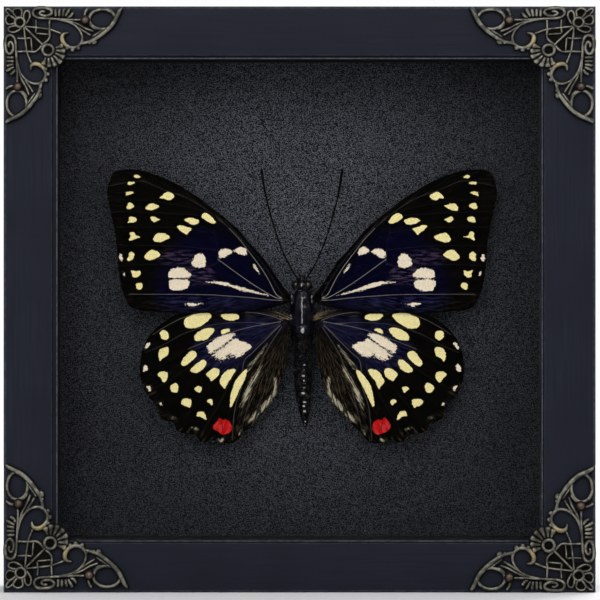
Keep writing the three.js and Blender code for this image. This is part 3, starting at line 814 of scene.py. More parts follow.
# All strands of a corner as chains of edges, with rounded ends and a thickness at each vertex.
def strandSource():
    o = ornament
    openLines = list(halfStrands.values())
    openLines += [mirrored(line) for line in openLines]
    openLines += [diagonal, *fanPetals()]
    chains = []
    for line in openLines:
        path = through(line, o["step"])
        path[:, 2] *= roundEnds(len(path), min(0.5, 1.5 / len(path)))
        chains.append((path, False))
    for centre, radius, thickness in (o["ringSmall"], o["ringLarge"]):
        chains.append((np.array(ringPoints((centre, centre), (radius, radius), thickness)), True))
    oval = ringPoints(o["oval"]["centre"], o["oval"]["radii"], o["oval"]["thickness"], 44)
    chains += [(np.array(oval), True), (np.array(mirrored(oval)), True)]
    chains.append((through(cornerPetal, o["step"], closed=True), True))
    vertices, edges, thickness = [], [], []
    for path, closed in chains:
        first = len(vertices)
        vertices += [(u * mm, 0, v * mm) for u, v, w in path]
        thickness += [w * o["heft"] * mm for u, v, w in path]
        edges += [(first + i, first + i + 1) for i in range(len(path) - 1)]
        if closed:
            edges.append((first + len(path) - 1, first))
    mesh = bpy.data.meshes.new("strand lines")
    mesh.from_pydata(vertices, edges, [])
    store(mesh, "thickness", thickness)
    return linked("strand lines", mesh)


# The thin plates that tie the shell's petals together, fill the web and fill the ring holes; their
# near-black finish is painted shade.
def plate(outline, start=0):
    thickness = ornament["plate"]
    rings = [[Vector((u * mm, y * mm, v * mm)) for u, v in outline] for y in (0, -thickness)]
    return loft(rings, start)


def fanOutline():
    fan = ornament["fan"]
    outline = []
    for radius, steps, way in ((fan["plateOuter"], 40, 1), (fan["plateInner"], 12, -1)):
        for k in range(steps + 1):
            turn = math.radians(45 + way * (fan["spread"] + fan["plateMargin"]) * (k / steps - 0.5))
            outline.append(fanPoint(radius, turn))
    return outline


# One casting in its corner's own place: u and v along the two edges, y out from the back plane.
def makeCasting():
    o = ornament
    source = strandSource()
    values = {"Sides": o["sides"], "Relief": o["relief"], "Finish": bronze}
    cast = realised(strandTree, source, values, "cast")
    bpy.data.objects.remove(source)
    whole = gather()
    lifted = o["strandRise"] * mm
    whole["vertices"] = [Vector((v.co.x, min(v.co.y - lifted, 0), v.co.z)) for v in cast.data.vertices]
    whole["faces"] = [tuple(p.vertices) for p in cast.data.polygons]
    whole["finishes"] = [0] * len(whole["faces"])
    bpy.data.objects.remove(cast)
    # near-black plates in the shell, the web and inside both rings: painted shade
    plates = [fanOutline(), webPlate + mirrored(webPlate)[::-1]]
    for centre, radius in ((o["ringSmall"][0], o["flowerShadeRadius"]), o["ringLarge"][:2]):
        plates.append([(u, v) for u, v, _ in ringPoints((centre, centre), (radius, radius), 0)])
    for outline in plates:
        put(whole, plate, outline, finish=2)
    for u, v, radius in [*beads, *mirrored(beads)]:
        radii = [radius * mm, o["beadDepth"] * mm, radius * mm]
        put(whole, ball, (u * mm, -o["beadRise"] * mm, v * mm), radii, 14, 9)
    for u, v in (o["pearl"], o["pearl"][::-1]):
        radii = [o["pearlRadius"] * mm] * 3
        put(whole, ball, (u * mm, -o["pearlRise"] * mm, v * mm), radii, 26, 16, finish=1)
    return whole


# How golden each vertex is: most on the heads of the two scrolls beside the shell.
def giltShare(whole):
    heads = [ornament["giltPlace"], ornament["giltPlace"][::-1]]
    shares = []
    for p in whole["vertices"]:
        gap = min(math.hypot(p.x / mm - u, p.z / mm - v) for u, v in heads)
        shares.append(max(0, 1 - gap / ornament["giltReach"]))
    return shares


def makeOrnaments():
    o = ornament
    whole = makeCasting()
    gilt = giltShare(whole)
    w, h, inset = box["width"], box["height"], o["inset"]
    corners = {  # place of the outer corner, and which way the casting runs from it
        "bottom_left": (inset - w / 2, inset, 1, 1),
        "bottom_right": (w / 2 - inset, inset, -1, 1),
        "top_right": (w / 2 - inset, h - inset, -1, -1),
        "top_left": (inset - w / 2, h - inset, 1, -1),
    }
    for corner, (x, z, right, up) in corners.items():
        wide, tall, lift = o["draw"][corner]
        vertices = [Vector((x * mm + wide * right * p.x, o["back"] * mm + p.y,
                            (z + lift) * mm + tall * up * p.z)) for p in whole["vertices"]]
        name = "corner_" + corner
        piece = newPiece(name + "_casting", vertices, whole["faces"], [bronze, copper, paintedShadeBronze])
        piece.data.polygons.foreach_set("material_index", whole["finishes"])
        piece.data.polygons.foreach_set("use_smooth", [finish != 2 for finish in whole["finishes"]])
        store(piece.data, "gilt", gilt)
        pointOutwards(piece)
        finishPiece(piece, "bronze", name)


# Turns every closed shell of a mesh the right way out.
def pointOutwards(piece):
    work = bmesh.new()
    work.from_mesh(piece.data)
    bmesh.ops.recalc_face_normals(work, faces=work.faces)
    work.to_mesh(piece.data)
    work.free()


makeOrnaments()
print("corner ornaments made")


# Wings, drawn as (outward from the body, up from the hinge line) in millimetres

butterfly = {"x": 0.6, "z": 72.8, "depth": 0.9}

foreWing = {
    "hinge": (3.3, 1.7), "depth": -0.75, "names": ("forewing_left", "forewing_right"),
    # how strong brown and vein lines are, and a shift that keeps the two wings' streaks apart
    "brownShare": 0.1, "veinShare": 1.0, "rows": 0.0,
    "outline": [
        (3.2, 2.7), (4.9, 4.9), (6.2, 6.7), (7.7, 9), (9.5, 11.6), (11.3, 13.6), (13.4, 15.9),
        (15.9, 18.9), (18.5, 21.3), (21.1, 23.4), (23.6, 25.4), (26.2, 27.4), (28.8, 29), (31.3, 30.6),
        (33.9, 31.9), (36.5, 33), (39, 33.9), (41.1, 34.5), (42.9, 34.7), (44.7, 34.8), (46.8, 34.6),
        (48.2, 34.1), (48.9, 33.1), (49.5, 31.3), (49.9, 29.5), (49.9, 28.3), (49.7, 26.8), (49.3, 25.2),
        (48.9, 23.1), (48.4, 21.1), (48, 19), (47.7, 17.2), (47.5, 15.2), (47.3, 13.1), (47.2, 11),
        (47.1, 9.5), (46.9, 7.7), (46.5, 5.7), (46, 3.6), (45.3, 1.8), (44.6, 0.4), (43.7, -0.5),
        (42.4, -1.1), (40.3, -1.5), (36.5, -1.8), (31.3, -2), (26.2, -2), (21.1, -2), (15.9, -1.9),
        (12.8, -1.5), (10.3, -1.1), (7.7, -0.6), (5.1, 0), (3.3, 0.8)],
    # each vein: how pale its line is, and its course from the root
    "veins": [
        (0.8, [(5.2, 1.9), (6.7, 2.9), (8.7, 6.7), (10.8, 10), (13.9, 14.1), (15.9, 16.7), (18.8, 19.8)]),
        (0.2, [(18.8, 19.8), (22.4, 23), (28.8, 27.1), (35.2, 29.5), (41.6, 31.8), (49.4, 30.5)]),
        (0.8, [(5.2, 1.7), (6.9, 2.0), (10.8, 4.2), (14.6, 6.7), (18.5, 9.5), (21.6, 11.8)]),
        (0.6, [(5.0, 1.2), (7.7, 1.3), (12.1, 1.8), (18.5, 2.3), (26.2, 2.7), (44.2, 2.8)]),
        (0.08, [(5.0, 2.4), (8.9, 9), (13.4, 14.6), (19.0, 20.8), (19.6, 21.8)]),
        (0.04, [(18.8, 19.8), (22.4, 23.9), (25.5, 26.6)]),
        (0.04, [(22.4, 23), (27.2, 26.6), (30.8, 29.8)]),
        (0.03, [(28.8, 27.1), (34.4, 30.2), (38.6, 33.2)]),
        (0.03, [(35.2, 29.5), (41, 32.2), (45.2, 34.2)]),
        (0.04, [(23.1, 22.9), (26.2, 24.4), (35.2, 26.2), (44.2, 27), (49.4, 27)]),
        (0.04, [(22.6, 21.3), (26.2, 22.9), (36.5, 23.6), (44.2, 23.9), (48.9, 23.9)]),
        (0.03, [(22.1, 18.5), (33.9, 19.8), (47.9, 20)]),
        (0.04, [(21.6, 14.1), (33.9, 15.2), (47.2, 15.2)]),
        (0.05, [(20.9, 11.4), (24.9, 9.8), (36.5, 10.4), (46.8, 10)]),
        (0.0, [(13.4, 5.4), (23.6, 6.2), (28.8, 6.75), (39, 6.6), (46.4, 6.2)]),
        (0.02, [(18.8, 19.8), (22.6, 22.2), (22.4, 18.6), (21.6, 14.1), (21.6, 11.8)]),
    ],
    "cream": [
        [(43.2, 33.1), (42.4, 33.5), (41.6, 33.2), (41.1, 32.8), (41.9, 32.5), (42.8, 32.6)],
        [(44.8, 31.3), (43.9, 31.7), (42.6, 31.3), (43.4, 30.9), (44.6, 30.8)],
        [(45.8, 29), (43.9, 29.3), (42.9, 28.8), (44.3, 28.2), (45.3, 27.8), (45.1, 28.6)],
        [(44.8, 25.8), (43.9, 26.2), (42.8, 25.4), (43.8, 24.7), (45, 24.7)],
        [(44.4, 22.5), (43.4, 22.8), (42.5, 22.4), (42.4, 21.6), (43.7, 21.1), (44.6, 21.1),
         (44.4, 21.8)],
        [(44.2, 18.5), (43.3, 18.8), (42.4, 18), (41.4, 17.4), (42.9, 17), (44.1, 16.4), (44.5, 16.7),
         (44.1, 17.5)],
        [(44.5, 13.2), (43.8, 13.8), (43, 13.2), (42.9, 12.3), (43.5, 11.5), (44.6, 11.2), (44.8, 11.8),
         (44.5, 12.5)],
        [(44, 9), (42.6, 8.8), (41.4, 8.9), (41.5, 7.8), (42.5, 7), (43.5, 7.2), (43.6, 8.2)],
        [(42.4, 5.5), (41.1, 5.7), (40.7, 4.9), (41.2, 4), (42.2, 3.9), (42.6, 4.6)],
        [(36.4, 27.4), (35.7, 28.4), (34.6, 29), (33.3, 28.6), (32.7, 27.9), (33.1, 27.2), (34.4, 26.8),
         (35.2, 27.2)],
        [(40.2, 24.6), (39.4, 25.9), (38.3, 26.2), (37.4, 25.9), (36.5, 25.4), (37.3, 24.7), (38.5, 24.3),
         (39.7, 24.3)],
        [(38.8, 22.5), (37.8, 22.7), (36.4, 22.1), (37, 21.5), (37.9, 21.1), (38.6, 21.6)],
        [(38.1, 17.1), (37.6, 18), (36.5, 18.6), (34.9, 18.2), (33.7, 17.3), (34.9, 16.5), (36.2, 16),
         (37.6, 16.1), (38.1, 16.4)],
        [(40.4, 12.3), (39.7, 13.5), (38.4, 14.2), (37, 13.7), (36.2, 12.6), (37.4, 11.9), (38.9, 11.4),
         (40, 11.6)],
        [(30.4, 21.8), (29.3, 22.4), (27.7, 22.4), (26.3, 21.6), (26.8, 20.7), (28.1, 20.6),
         (29.4, 21.1)],
        [(32.2, 20.2), (31.1, 20.5), (29.7, 20.1), (28.1, 19.5), (28.8, 18.9), (29.4, 18), (30.6, 18.6),
         (31.6, 19.5)],
        [(25.9, 22.6), (25.3, 23.4), (24.5, 23.6), (23.4, 22.9), (22.4, 21.9), (22.1, 21.1), (23.2, 20.9),
         (24.9, 21.7)],
    ],
    "white": [
        [(46.8, 13.1), (46.2, 13.2), (45.9, 11.8), (46.2, 11), (46.8, 11.4)],
        [(46, 8.7), (45.5, 8.5), (45.3, 7.3), (45.9, 7.6)],
        [(27.6, 12.5), (26.5, 13.2), (25, 12.7), (24.5, 11.4), (24.7, 10), (25.8, 9.6), (27.5, 9.7),
         (28.3, 10.9)],
        [(34, 8.7), (33.1, 9.4), (31.5, 9.7), (29.7, 9.4), (29, 8.5), (28.3, 7.6), (29.2, 6.9),
         (31.6, 6.8), (34, 7), (34.2, 7.7)],
        [(34, 6.6), (31.3, 6.6), (29.1, 6.5), (28.8, 5.4), (29.3, 4.1), (30.8, 3.6), (32.9, 3.6),
         (34, 4.4), (34.2, 5.5)],
        [(21.6, 13.1), (20.7, 14.4), (19.5, 14.6), (18.4, 14.3), (17.6, 13.7), (18.9, 12.8), (20, 12),
         (20.9, 12)],
        [(17.5, 13.9), (16.1, 15), (15, 14.9), (14.1, 13.6), (14.4, 12.8), (15.4, 12.8), (16.6, 13.4)],
        [(12.6, 10.5), (12.1, 10.5), (11.2, 9.2), (10.5, 7.8), (11.2, 8.2), (12.1, 9.2)],
        [(24.6, 5.9), (22.2, 6.1), (20.3, 6.1), (18.6, 5.7), (15.9, 4.8), (12.8, 3.8), (8.6, 2.6),
         (8.6, 2.3), (13.4, 3.2), (16.4, 4.0), (19, 4.7), (21.1, 5.3), (22.6, 5.7)],
        [(30.6, 0.3), (28.8, 0.7), (27.5, 0.5), (25.3, 0.4), (27, -0.1), (28.3, -0.4), (29.5, 0.0)],
    ],
    "red": [],
    "pale": [],
    # soft zones: how far they fade, then outlines
    "violet": (3.0, [[(26, 20), (18, 17.5), (10.3, 9), (6.5, 2.6), (10.3, -0.6), (26.2, -1.4),
                      (34.4, -0.3), (37.5, 3.9), (35.4, 11), (31, 16.7)]]),
    "mauve": (1.6, [[(35, 13.4), (28.5, 13), (28.5, 11.2), (35.5, 11.3)], [(29, 9.8), (23.5, 9.2),
                     (23.5, 6.2), (28.5, 6)]]),
    "brown": (2.2, [[(50.5, 34), (47.5, 35.5), (45.5, 31), (46.8, 24), (46.3, 15), (46, 5), (49, 12)],
                    [(46, 3), (36, 1.2), (36, -2.2), (44, -1.5)]]),
}

hindWing = {
    "hinge": (3.4, -3.9), "depth": 0.35, "names": ("hindwing_left", "hindwing_right"),
    "brownShare": 1.0, "veinShare": 0.6, "rows": 3.0,
    "outline": [
        (3.9, -2.6), (8.2, -1.5), (13.4, -1), (19.8, -0.8), (24.9, -0.9), (28.8, -1.5), (31.9, -2.4),
        (33.9, -3.3), (35.7, -4.5), (37.3, -5.8), (38.5, -7.1), (39.6, -8.5), (40.3, -10), (41, -11.8),
        (41.4, -13.6), (41.5, -15.7), (41.5, -17.7), (41.2, -19.8), (40.7, -21.5), (39.8, -22.9),
        (38.8, -24.1), (37.5, -25.4), (36.9, -26.5), (36.5, -27.9), (35.8, -29.2), (34.7, -29.7),
        (33.3, -30), (32.5, -31.1), (32.1, -32.2), (30.8, -32.8), (29, -32.9), (27.5, -33.4),
        (26.5, -34.4), (25.7, -35.2), (24.4, -35.1), (23.1, -34.6), (21.3, -35.2), (19.3, -35.5),
        (17.5, -35.2), (16.2, -34.2), (15.2, -33), (13.4, -31.2), (11.3, -29), (9.2, -26.7), (7.7, -24.7),
        (6.4, -22.4), (5.3, -19.5), (4.4, -16.7), (3.7, -13.9), (3.4, -10.8), (3.3, -7.7), (3.3, -4.9)],
    "veins": [
        (0.9, [(5.0, -3.9), (9.4, -2.4), (16, -1.7), (24.9, -1.6), (30.6, -3.3), (35.2, -5.6),
               (38.2, -7.6)]),
        (0.3, [(8.5, -4.7), (15.9, -4.5), (22.4, -5), (30, -7.2), (35.2, -10), (40.2, -12.2)]),
        (0.8, [(5.5, -4.2), (9, -4.9), (12.1, -5.4), (17.2, -6.7), (23.6, -9), (29.3, -11.3)]),
        (0.04, [(29.3, -11.3), (35.5, -15.2), (41.0, -17.2)]),
        (0.08, [(5.6, -4.6), (11, -7), (16.4, -7.9), (19.8, -10.3), (24.2, -12.6), (28.8, -15.8),
                (33.9, -19.3), (39.8, -22.4)]),
        (0.02, [(16.4, -7.9), (17.2, -13.6), (24.4, -16.2), (27.5, -19.3), (31.9, -23.4), (36.4, -27)]),
        (0.02, [(16.0, -13.6), (20.8, -17.2), (22.9, -20.6), (25.7, -23.9), (28.6, -27.5), (32, -31.6)]),
        (0.1, [(5.6, -4.9), (11, -9.6), (15.8, -14), (16.8, -17), (19.4, -21.9), (21.8, -26.5),
               (24.6, -31), (26.0, -34.3)]),
        (0.6, [(5.6, -5.2), (12.3, -11.8), (14.9, -14.6), (15.4, -20.6), (17, -25.7), (17.6, -30),
               (17.9, -34.8)]),
        (0.4, [(5.2, -5.6), (9.8, -13), (12.3, -20), (14.2, -27), (15.6, -32.6)]),
        (0.0, [(20.9, -28.3), (20.6, -30), (20.3, -32)]),
    ],
    "cream": [
        [(30.4, -4.5), (29.8, -3.3), (28.5, -2.6), (26.5, -2.1), (24.1, -2.1), (23.2, -2.7), (24, -4),
         (25.4, -5.1), (27.2, -6), (29.2, -6), (30.1, -5.5)],
        [(20.8, -2.3), (18.8, -2.1), (16.8, -2.3), (16.1, -3.4), (17.2, -4), (19, -4), (20.4, -3.3)],
        [(27.6, -8.3), (27, -7.2), (25.4, -6.1), (23.9, -5.7), (22.5, -5.9), (22.4, -6.8), (23.1, -7.8),
         (24.4, -8.7), (25.9, -9.2), (27.2, -9.2)],
        [(20.8, -7.5), (20.6, -6.4), (19.5, -6), (18.4, -6.1), (18.5, -6.6), (19.8, -7.2)],
        [(31, -15), (30.4, -13.6), (29.2, -12.2), (28, -11.7), (27.2, -12.1), (27.1, -13.1),
         (28.1, -14.4), (29.4, -15.4), (30.4, -15.7)],
        [(28.7, -16.8), (28, -15.8), (26.3, -14.4), (25.2, -13.9), (24.5, -14.5), (24.8, -15.7),
         (25.8, -16.8), (27, -17.5), (27.9, -17.3)],
        [(24.7, -17.9), (23.8, -16.8), (22.5, -16.1), (21.3, -16.4), (21, -17.2), (21.6, -18.4),
         (22.6, -19.3), (23.4, -19.5), (24, -18.8)],
        [(21.2, -19.3), (20.3, -17.7), (19, -16.6), (17.7, -16.3), (17, -16.7), (17.6, -18),
         (18.6, -19.5), (19.4, -20.9), (19.9, -21.7), (20.4, -20.9), (21.1, -20.2)],
        [(36.5, -6.9), (35.6, -6.4), (34.6, -6.7), (34.1, -7.6), (34.4, -8.6), (35.3, -9.1), (36.2, -8.7),
         (36.4, -8)],
        [(36.9, -12.7), (36.5, -11.4), (35.3, -10.8), (34.3, -10.8), (34, -11.8), (34.4, -13.1),
         (35.6, -13.7), (36.4, -14.6), (36.7, -14.1)],
        [(37.1, -17.9), (36.5, -17.1), (35.3, -17), (34.4, -17.5), (34.3, -18.6), (34.9, -19.7),
         (35.7, -19.8), (36.2, -18.9)],
        [(34, -21.1), (33.4, -20.3), (32.5, -19.9), (31.7, -20.4), (31.6, -21.6), (32.2, -22.4),
         (33, -22.5), (33.7, -22)],
        [(27.5, -21.5), (26.7, -20.8), (25.7, -21.1), (25.8, -22), (26.2, -22.6), (27, -22.1)],
        [(31.1, -25), (30.6, -24.1), (29.4, -23.9), (28.4, -24.4), (28.3, -25.4), (28.8, -26.3),
         (29.4, -26.2), (30.3, -25.8)],
        [(24.4, -24.9), (24, -24.1), (23.1, -24.1), (22.7, -24.9), (22.9, -25.7), (23.2, -25.8),
         (23.8, -25.3)],
        [(27.2, -28.3), (26.6, -27.3), (25.4, -27.2), (24.8, -27.9), (24.3, -29.5), (24.8, -29.5),
         (25.8, -28.8), (26.8, -28.5)],
        [(18.6, -25.2), (18.4, -23.6), (17.9, -21.3), (17.1, -19.5), (15.9, -17.8), (14.5, -16.6),
         (13.9, -16.7), (14.1, -18.0), (15.0, -19.8), (15.9, -21.8), (17, -24.1), (18, -26.3),
         (18.5, -26.2)],
    ],
    "white": [
        [(24.4, -10.5), (23.1, -9.4), (21.1, -8.1), (19, -7.3), (17.3, -7.3), (17.1, -7.8), (18.8, -9.4),
         (21.1, -10.9), (23.4, -12.3), (24.1, -11.8)],
        [(23.1, -12.7), (20.8, -11), (18.8, -9.6), (17.7, -8.7), (16.7, -8.5), (15.9, -9.1), (14.4, -9.5),
         (12.8, -10.6), (13.9, -11.7), (15.7, -13.1), (17.2, -13.4), (18.1, -12.8), (19.5, -13.7),
         (21.1, -14.1), (22.4, -13.4)],
        [(40.3, -11.2), (39.9, -10), (39.3, -9.5), (38.7, -9.8), (39.2, -10.5), (39.9, -11.4)],
        [(40.8, -15.7), (40.2, -15.1), (39.5, -15.7), (39.7, -16.7), (40.5, -17.2), (40.8, -16.6)],
        [(40.1, -20.5), (39.3, -20.7), (38.6, -21.2), (39.2, -22.1), (39.7, -21.2)],
        [(36.7, -25), (36.1, -24.9), (35.8, -25.9), (36.4, -25.7)],
    ],
    "red": [
        [(22.9, -31.1), (22.2, -29.9), (21.2, -28.9), (20.3, -29.4), (19.5, -29.3), (18.5, -29.9),
         (18, -31.2), (18.2, -32.4), (19.3, -33.3), (20.6, -33.1), (21.7, -32.5), (22.6, -31.9)],
    ],
    "pale": [
        [(14.2, -16.2), (12.2, -13.9), (10.3, -11.7), (9, -10.0), (10.4, -12.3), (12.3, -15.0),
         (13.5, -16.8)],
        [(15.9, -26.5), (15.4, -23.9), (14.1, -21.1), (12.3, -18), (10.3, -15.2), (11.3, -18.2),
         (13.1, -21.8), (14.6, -24.9)],
        [(7.0, -18.6), (7.4, -21.8), (8.9, -24.1), (10.9, -26.3), (12.8, -28.6), (13.8, -30.3),
         (12.3, -29.3), (10.2, -27.3), (8.1, -25), (6.5, -22.4), (6.3, -20.0)],
        [(16.3, -33.5), (15.9, -32.4), (15.2, -31.7), (15.4, -32.6)],
        [(33.4, -29), (32.8, -28.8), (32.1, -29.1), (32.8, -29.3)],
        [(28.4, -31.6), (27.5, -31.4), (26.5, -31.9), (27.2, -32)],
        [(21.3, -34.6), (20, -34.3), (19.9, -34.9), (21.1, -35.1)],
    ],
    "violet": (2.2, [[(25.4, -8.5), (23.6, -5.4), (15.9, -3.9), (10.3, -2.8), (5.0, -4.4), (6.9, -6.9),
                      (13.4, -12.4), (16.4, -16.2), (21.1, -17.2), (27.2, -14.6), (28, -11.6)]]),
    "mauve": (1.5, []),
    "brown": (2.4, [[(3.4, -7.4), (9.6, -12.8), (12.6, -18), (15.2, -25), (16.6, -30.8), (16.8, -35.5),
                     (10.3, -30), (4, -20.6), (3, -11.6)], [(4, -1.6), (14, -0.6), (25, -0.4), (25, -2),
                     (12, -2.4), (4.4, -4)]]),
}

wingMesh = {"spacing": 0.27, "thickness": 0.14, "arch": 0.9, "droop": 0.25, "veinHeight": 0.09,
            "veinWidth": 0.2, "flute": 0.15, "fluteWidth": 1.3, "ripple": 0.035, "jitter": 0.12,
            "hairLean": -0.35}
wingHair = {"Density": 1.1e7, "Length": 1.5 * mm, "Thickness": 0.022 * mm, "Ruffle": 0.28,
            "Finish": hairBrown}


# Height of the membrane towards the viewer: it arches from the hinge and dips a little to the margin.
def wingArch(share):
    return wingMesh["arch"] * np.sin(share * 2.3) - wingMesh["droop"] * share


def nearest(places, points):
    tree = KDTree(len(points))
    for i, p in enumerate(points):
        tree.insert((p[0], p[1], 0), i)
    tree.balance()
    found = [tree.find((p[0], p[1], 0)) for p in places]
    return np.array([f[2] for f in found]), np.array([f[1] for f in found])


# Distance to a closed outline, less than nought inside.
def signedDistance(places, outline):
    best = np.full(len(places), 1e9)
    inside = np.zeros(len(places), bool)
    for p, q in zip(outline, np.roll(outline, -1, axis=0)):
        run = q - p
        t = np.clip(((places - p) @ run) / max(run @ run, 1e-12), 0, 1)
        best = np.minimum(best, np.hypot(*(places - p - t[:, None] * run).T))
        crossed = (p[1] > places[:, 1]) != (q[1] > places[:, 1])
        if crossed.any():
            reach = p[0] + (places[:, 1] - p[1]) * run[0] / run[1]
            inside ^= crossed & (places[:, 0] < reach)
    return np.where(inside, -best, best)


# Flat triangles over a wing, with edges along its veins.
def wingTriangles(wing):
    step = wingMesh["spacing"]
    outline = through(wing["outline"], step, closed=True)
    veins = [through(points, step) for _, points in wing["veins"]]
    low, high = outline.min(0), outline.max(0)
    rows = np.arange(low[1], high[1], step * 0.87)
    columns = np.arange(low[0], high[0], step)
    grid = np.array([(x + (k % 2) * step / 2, y) for k, y in enumerate(rows) for x in columns])
    grid = grid[signedDistance(grid, through(wing["outline"], 1.0, closed=True)) < -0.6 * step]
    gap, _ = nearest(grid, np.vstack([outline, *veins]))
    grid = grid[gap > 0.55 * step]
    points = np.vstack([outline, *veins, grid])
    edges = []
    start = len(outline)
    for vein in veins:
        edges += [(start + i, start + i + 1) for i in range(len(vein) - 1)]
        start += len(vein)
    border = [list(range(len(outline)))]
    result = delaunay_2d_cdt([Vector(p) for p in points], edges, border, 1, 1e-5)
    places = np.array([tuple(v) for v in result[0]])
    faces = [f if signedArea(places[list(f)]) > 0 else f[::-1] for f in result[2]]
    return places, faces


def signedArea(corners):
    x, y = corners[:, 0], corners[:, 1]
    return np.dot(x, np.roll(y, -1)) - np.dot(y, np.roll(x, -1))


# Eases a share between nought and one.
def eased(share):
    return share * share * (3 - 2 * share)


# Distance to the nearest vein, and how pale that vein is.
def nearestVein(wing, places):
    fine, tones = [], []
    for tone, points in wing["veins"]:
        path = through(points, 0.06)
        fine.append(path)
        tones += [tone] * len(path)
    vein, which = nearest(places, np.vstack(fine))
    return vein, np.array(tones)[which.astype(int)]


# Membrane with raised veins, flutes beside them and a fine ripple.
def wingHeight(share, radius, turn, vein):
    m = wingMesh
    ridge = m["veinHeight"] * np.exp(-(vein / m["veinWidth"]) ** 2) * (1 - 0.5 * share)
    fluting = m["flute"] * (np.exp(-(vein / m["fluteWidth"]) ** 2) - 0.5) * np.clip(1.5 * share, 0, 1)
    ripple = m["ripple"] * np.sin(turn * 46 + radius * 0.35) * np.clip(radius / 8, 0, 1)
    return wingArch(share) + ridge + fluting + ripple


# Distances to the marking outlines, each shaken a little, and masks of the soft zones.
def wingMarkings(wing, places, shuffle):
    jitter = wingMesh["jitter"]
    fields = {}
    for name in ("cream", "white", "red", "pale"):
        best = np.full(len(places), 3.0)
        for spot in wing[name]:
            shaken = [(x + shuffle.uniform(-1, 1) * jitter, y + shuffle.uniform(-1, 1) * jitter)
                      for x, y in spot]
            best = np.minimum(best, signedDistance(places, through(shaken, 0.35, closed=True)))
        fields[name] = best
    for name in ("violet", "mauve", "brown"):
        soft, zones = wing[name]
        best = np.full(len(places), 1e3)
        for zone in zones:
            best = np.minimum(best, signedDistance(places, through(zone, 1.0, closed=True)))
        fields[name] = eased(np.clip(0.5 - best / (2 * soft), 0, 1))
    return fields


# Everything that depends on the place in the wing: height, flow and masks.
def wingFields(wing, places, shuffle):
    hinge = np.array(wing["hinge"])
    away = places - hinge
    radius = np.hypot(*away.T)
    turn = np.arctan2(away[:, 1], away[:, 0])
    rim = through(wing["outline"], 0.25, closed=True) - hinge
    rimTurn = np.arctan2(rim[:, 1], rim[:, 0])
    order = np.argsort(rimTurn)
    reach = np.interp(turn, rimTurn[order], np.hypot(*rim.T)[order])
    share = np.clip(radius / np.maximum(reach, 0.5), 0, 1)
    vein, tone = nearestVein(wing, places)
    height = wingHeight(share, radius, turn, vein)
    fields = {"vein": np.minimum(vein, 3), "tone": tone * (1 - 0.65 * share)}
    fields.update(wingMarkings(wing, places, shuffle))
    fields["brown"] *= wing["brownShare"]
    fields["tone"] *= wing["veinShare"]
    fields["ragged"] = np.ones(len(places))
    x, y = places.T
    root = np.exp(-np.maximum(radius - 1.2, 0) / 1.3)
    across = turn * 14
    if wing is foreWing:
        # blue sheen low on the wing and away from the root; the scale rows level out further along
        fields["sheen"] = np.clip((2.4 - y) / 0.8, 0, 1) * np.clip((x - 8) / 12, 0, 0.8)
        fields["hair"] = 0.3 * root
        level = eased(np.clip((x - 14) / 14, 0, 1))
        across = across * (1 - level) + y / 2.2 * level
    else:
        # hair along the front edge and on the brown inner margin, and a brown fringe below
        front = np.exp(-((y + 2.3) / 0.8) ** 2) * np.clip((10 - x) / 5, 0, 1)
        fringe = 0.4 * np.clip((share - 0.93) / 0.05, 0, 1) * (y < -20)
        fields["sheen"] = np.full(len(places), 0.75)
        fields["hair"] = np.clip(0.3 * root + 0.5 * front + 0.09 * fields["brown"] * (y < -5), 0, 1)
        fields["brown"] = np.maximum(fields["brown"], fringe)
        # the white patch in the middle has the most broken edge
        fields["ragged"] += 2.2 * np.exp(-((x - 19.5) / 4) ** 2 - ((y + 13.2) / 2.2) ** 2)
    flow = np.column_stack([radius, across, np.full(len(places), wing["rows"])])
    lie = away / np.maximum(radius, 0.01)[:, None]
    return height, fields, flow, lie


def makeWing(wing, places, faces, side):
    shuffle = random.Random(11 if side < 0 else 29)
    height, fields, flow, lie = wingFields(wing, places, shuffle)
    x = butterfly["x"] + side * places[:, 0]
    y = wing["depth"] - height
    z = butterfly["z"] + places[:, 1]
    vertices = np.column_stack([x, y, z]) * mm
    turned = faces if side > 0 else [f[::-1] for f in faces]
    name = wing["names"][0 if side < 0 else 1]
    piece = newPiece(name + "_scales", vertices, turned, [wingScales])
    for key, values in fields.items():
        store(piece.data, key, values)
    store(piece.data, "flow", flow, "FLOAT_VECTOR")
    leaning = np.column_stack([side * lie[:, 0], np.full(len(lie), wingMesh["hairLean"]), lie[:, 1]])
    store(piece.data, "lie", leaning, "FLOAT_VECTOR")
    hairs = realised(hairTree, piece, {**wingHair, "Seed": 3 if side < 0 else 5}, name + "_hair")
    shell = piece.modifiers.new("thickness", "SOLIDIFY")
    shell.thickness = wingMesh["thickness"] * mm
    shell.offset = -1
    finishPiece(piece, "wing_scales", name)
    finishPiece(hairs, "wing_scales")
    print(name, len(places), "points,", len(hairs.data.polygons), "hair faces")


def makeWings():
    for wing in (foreWing, hindWing):
        places, faces = wingTriangles(wing)
        for side in (-1, 1):
            makeWing(wing, places, faces, side)


makeWings()
print("wings made")


# Body

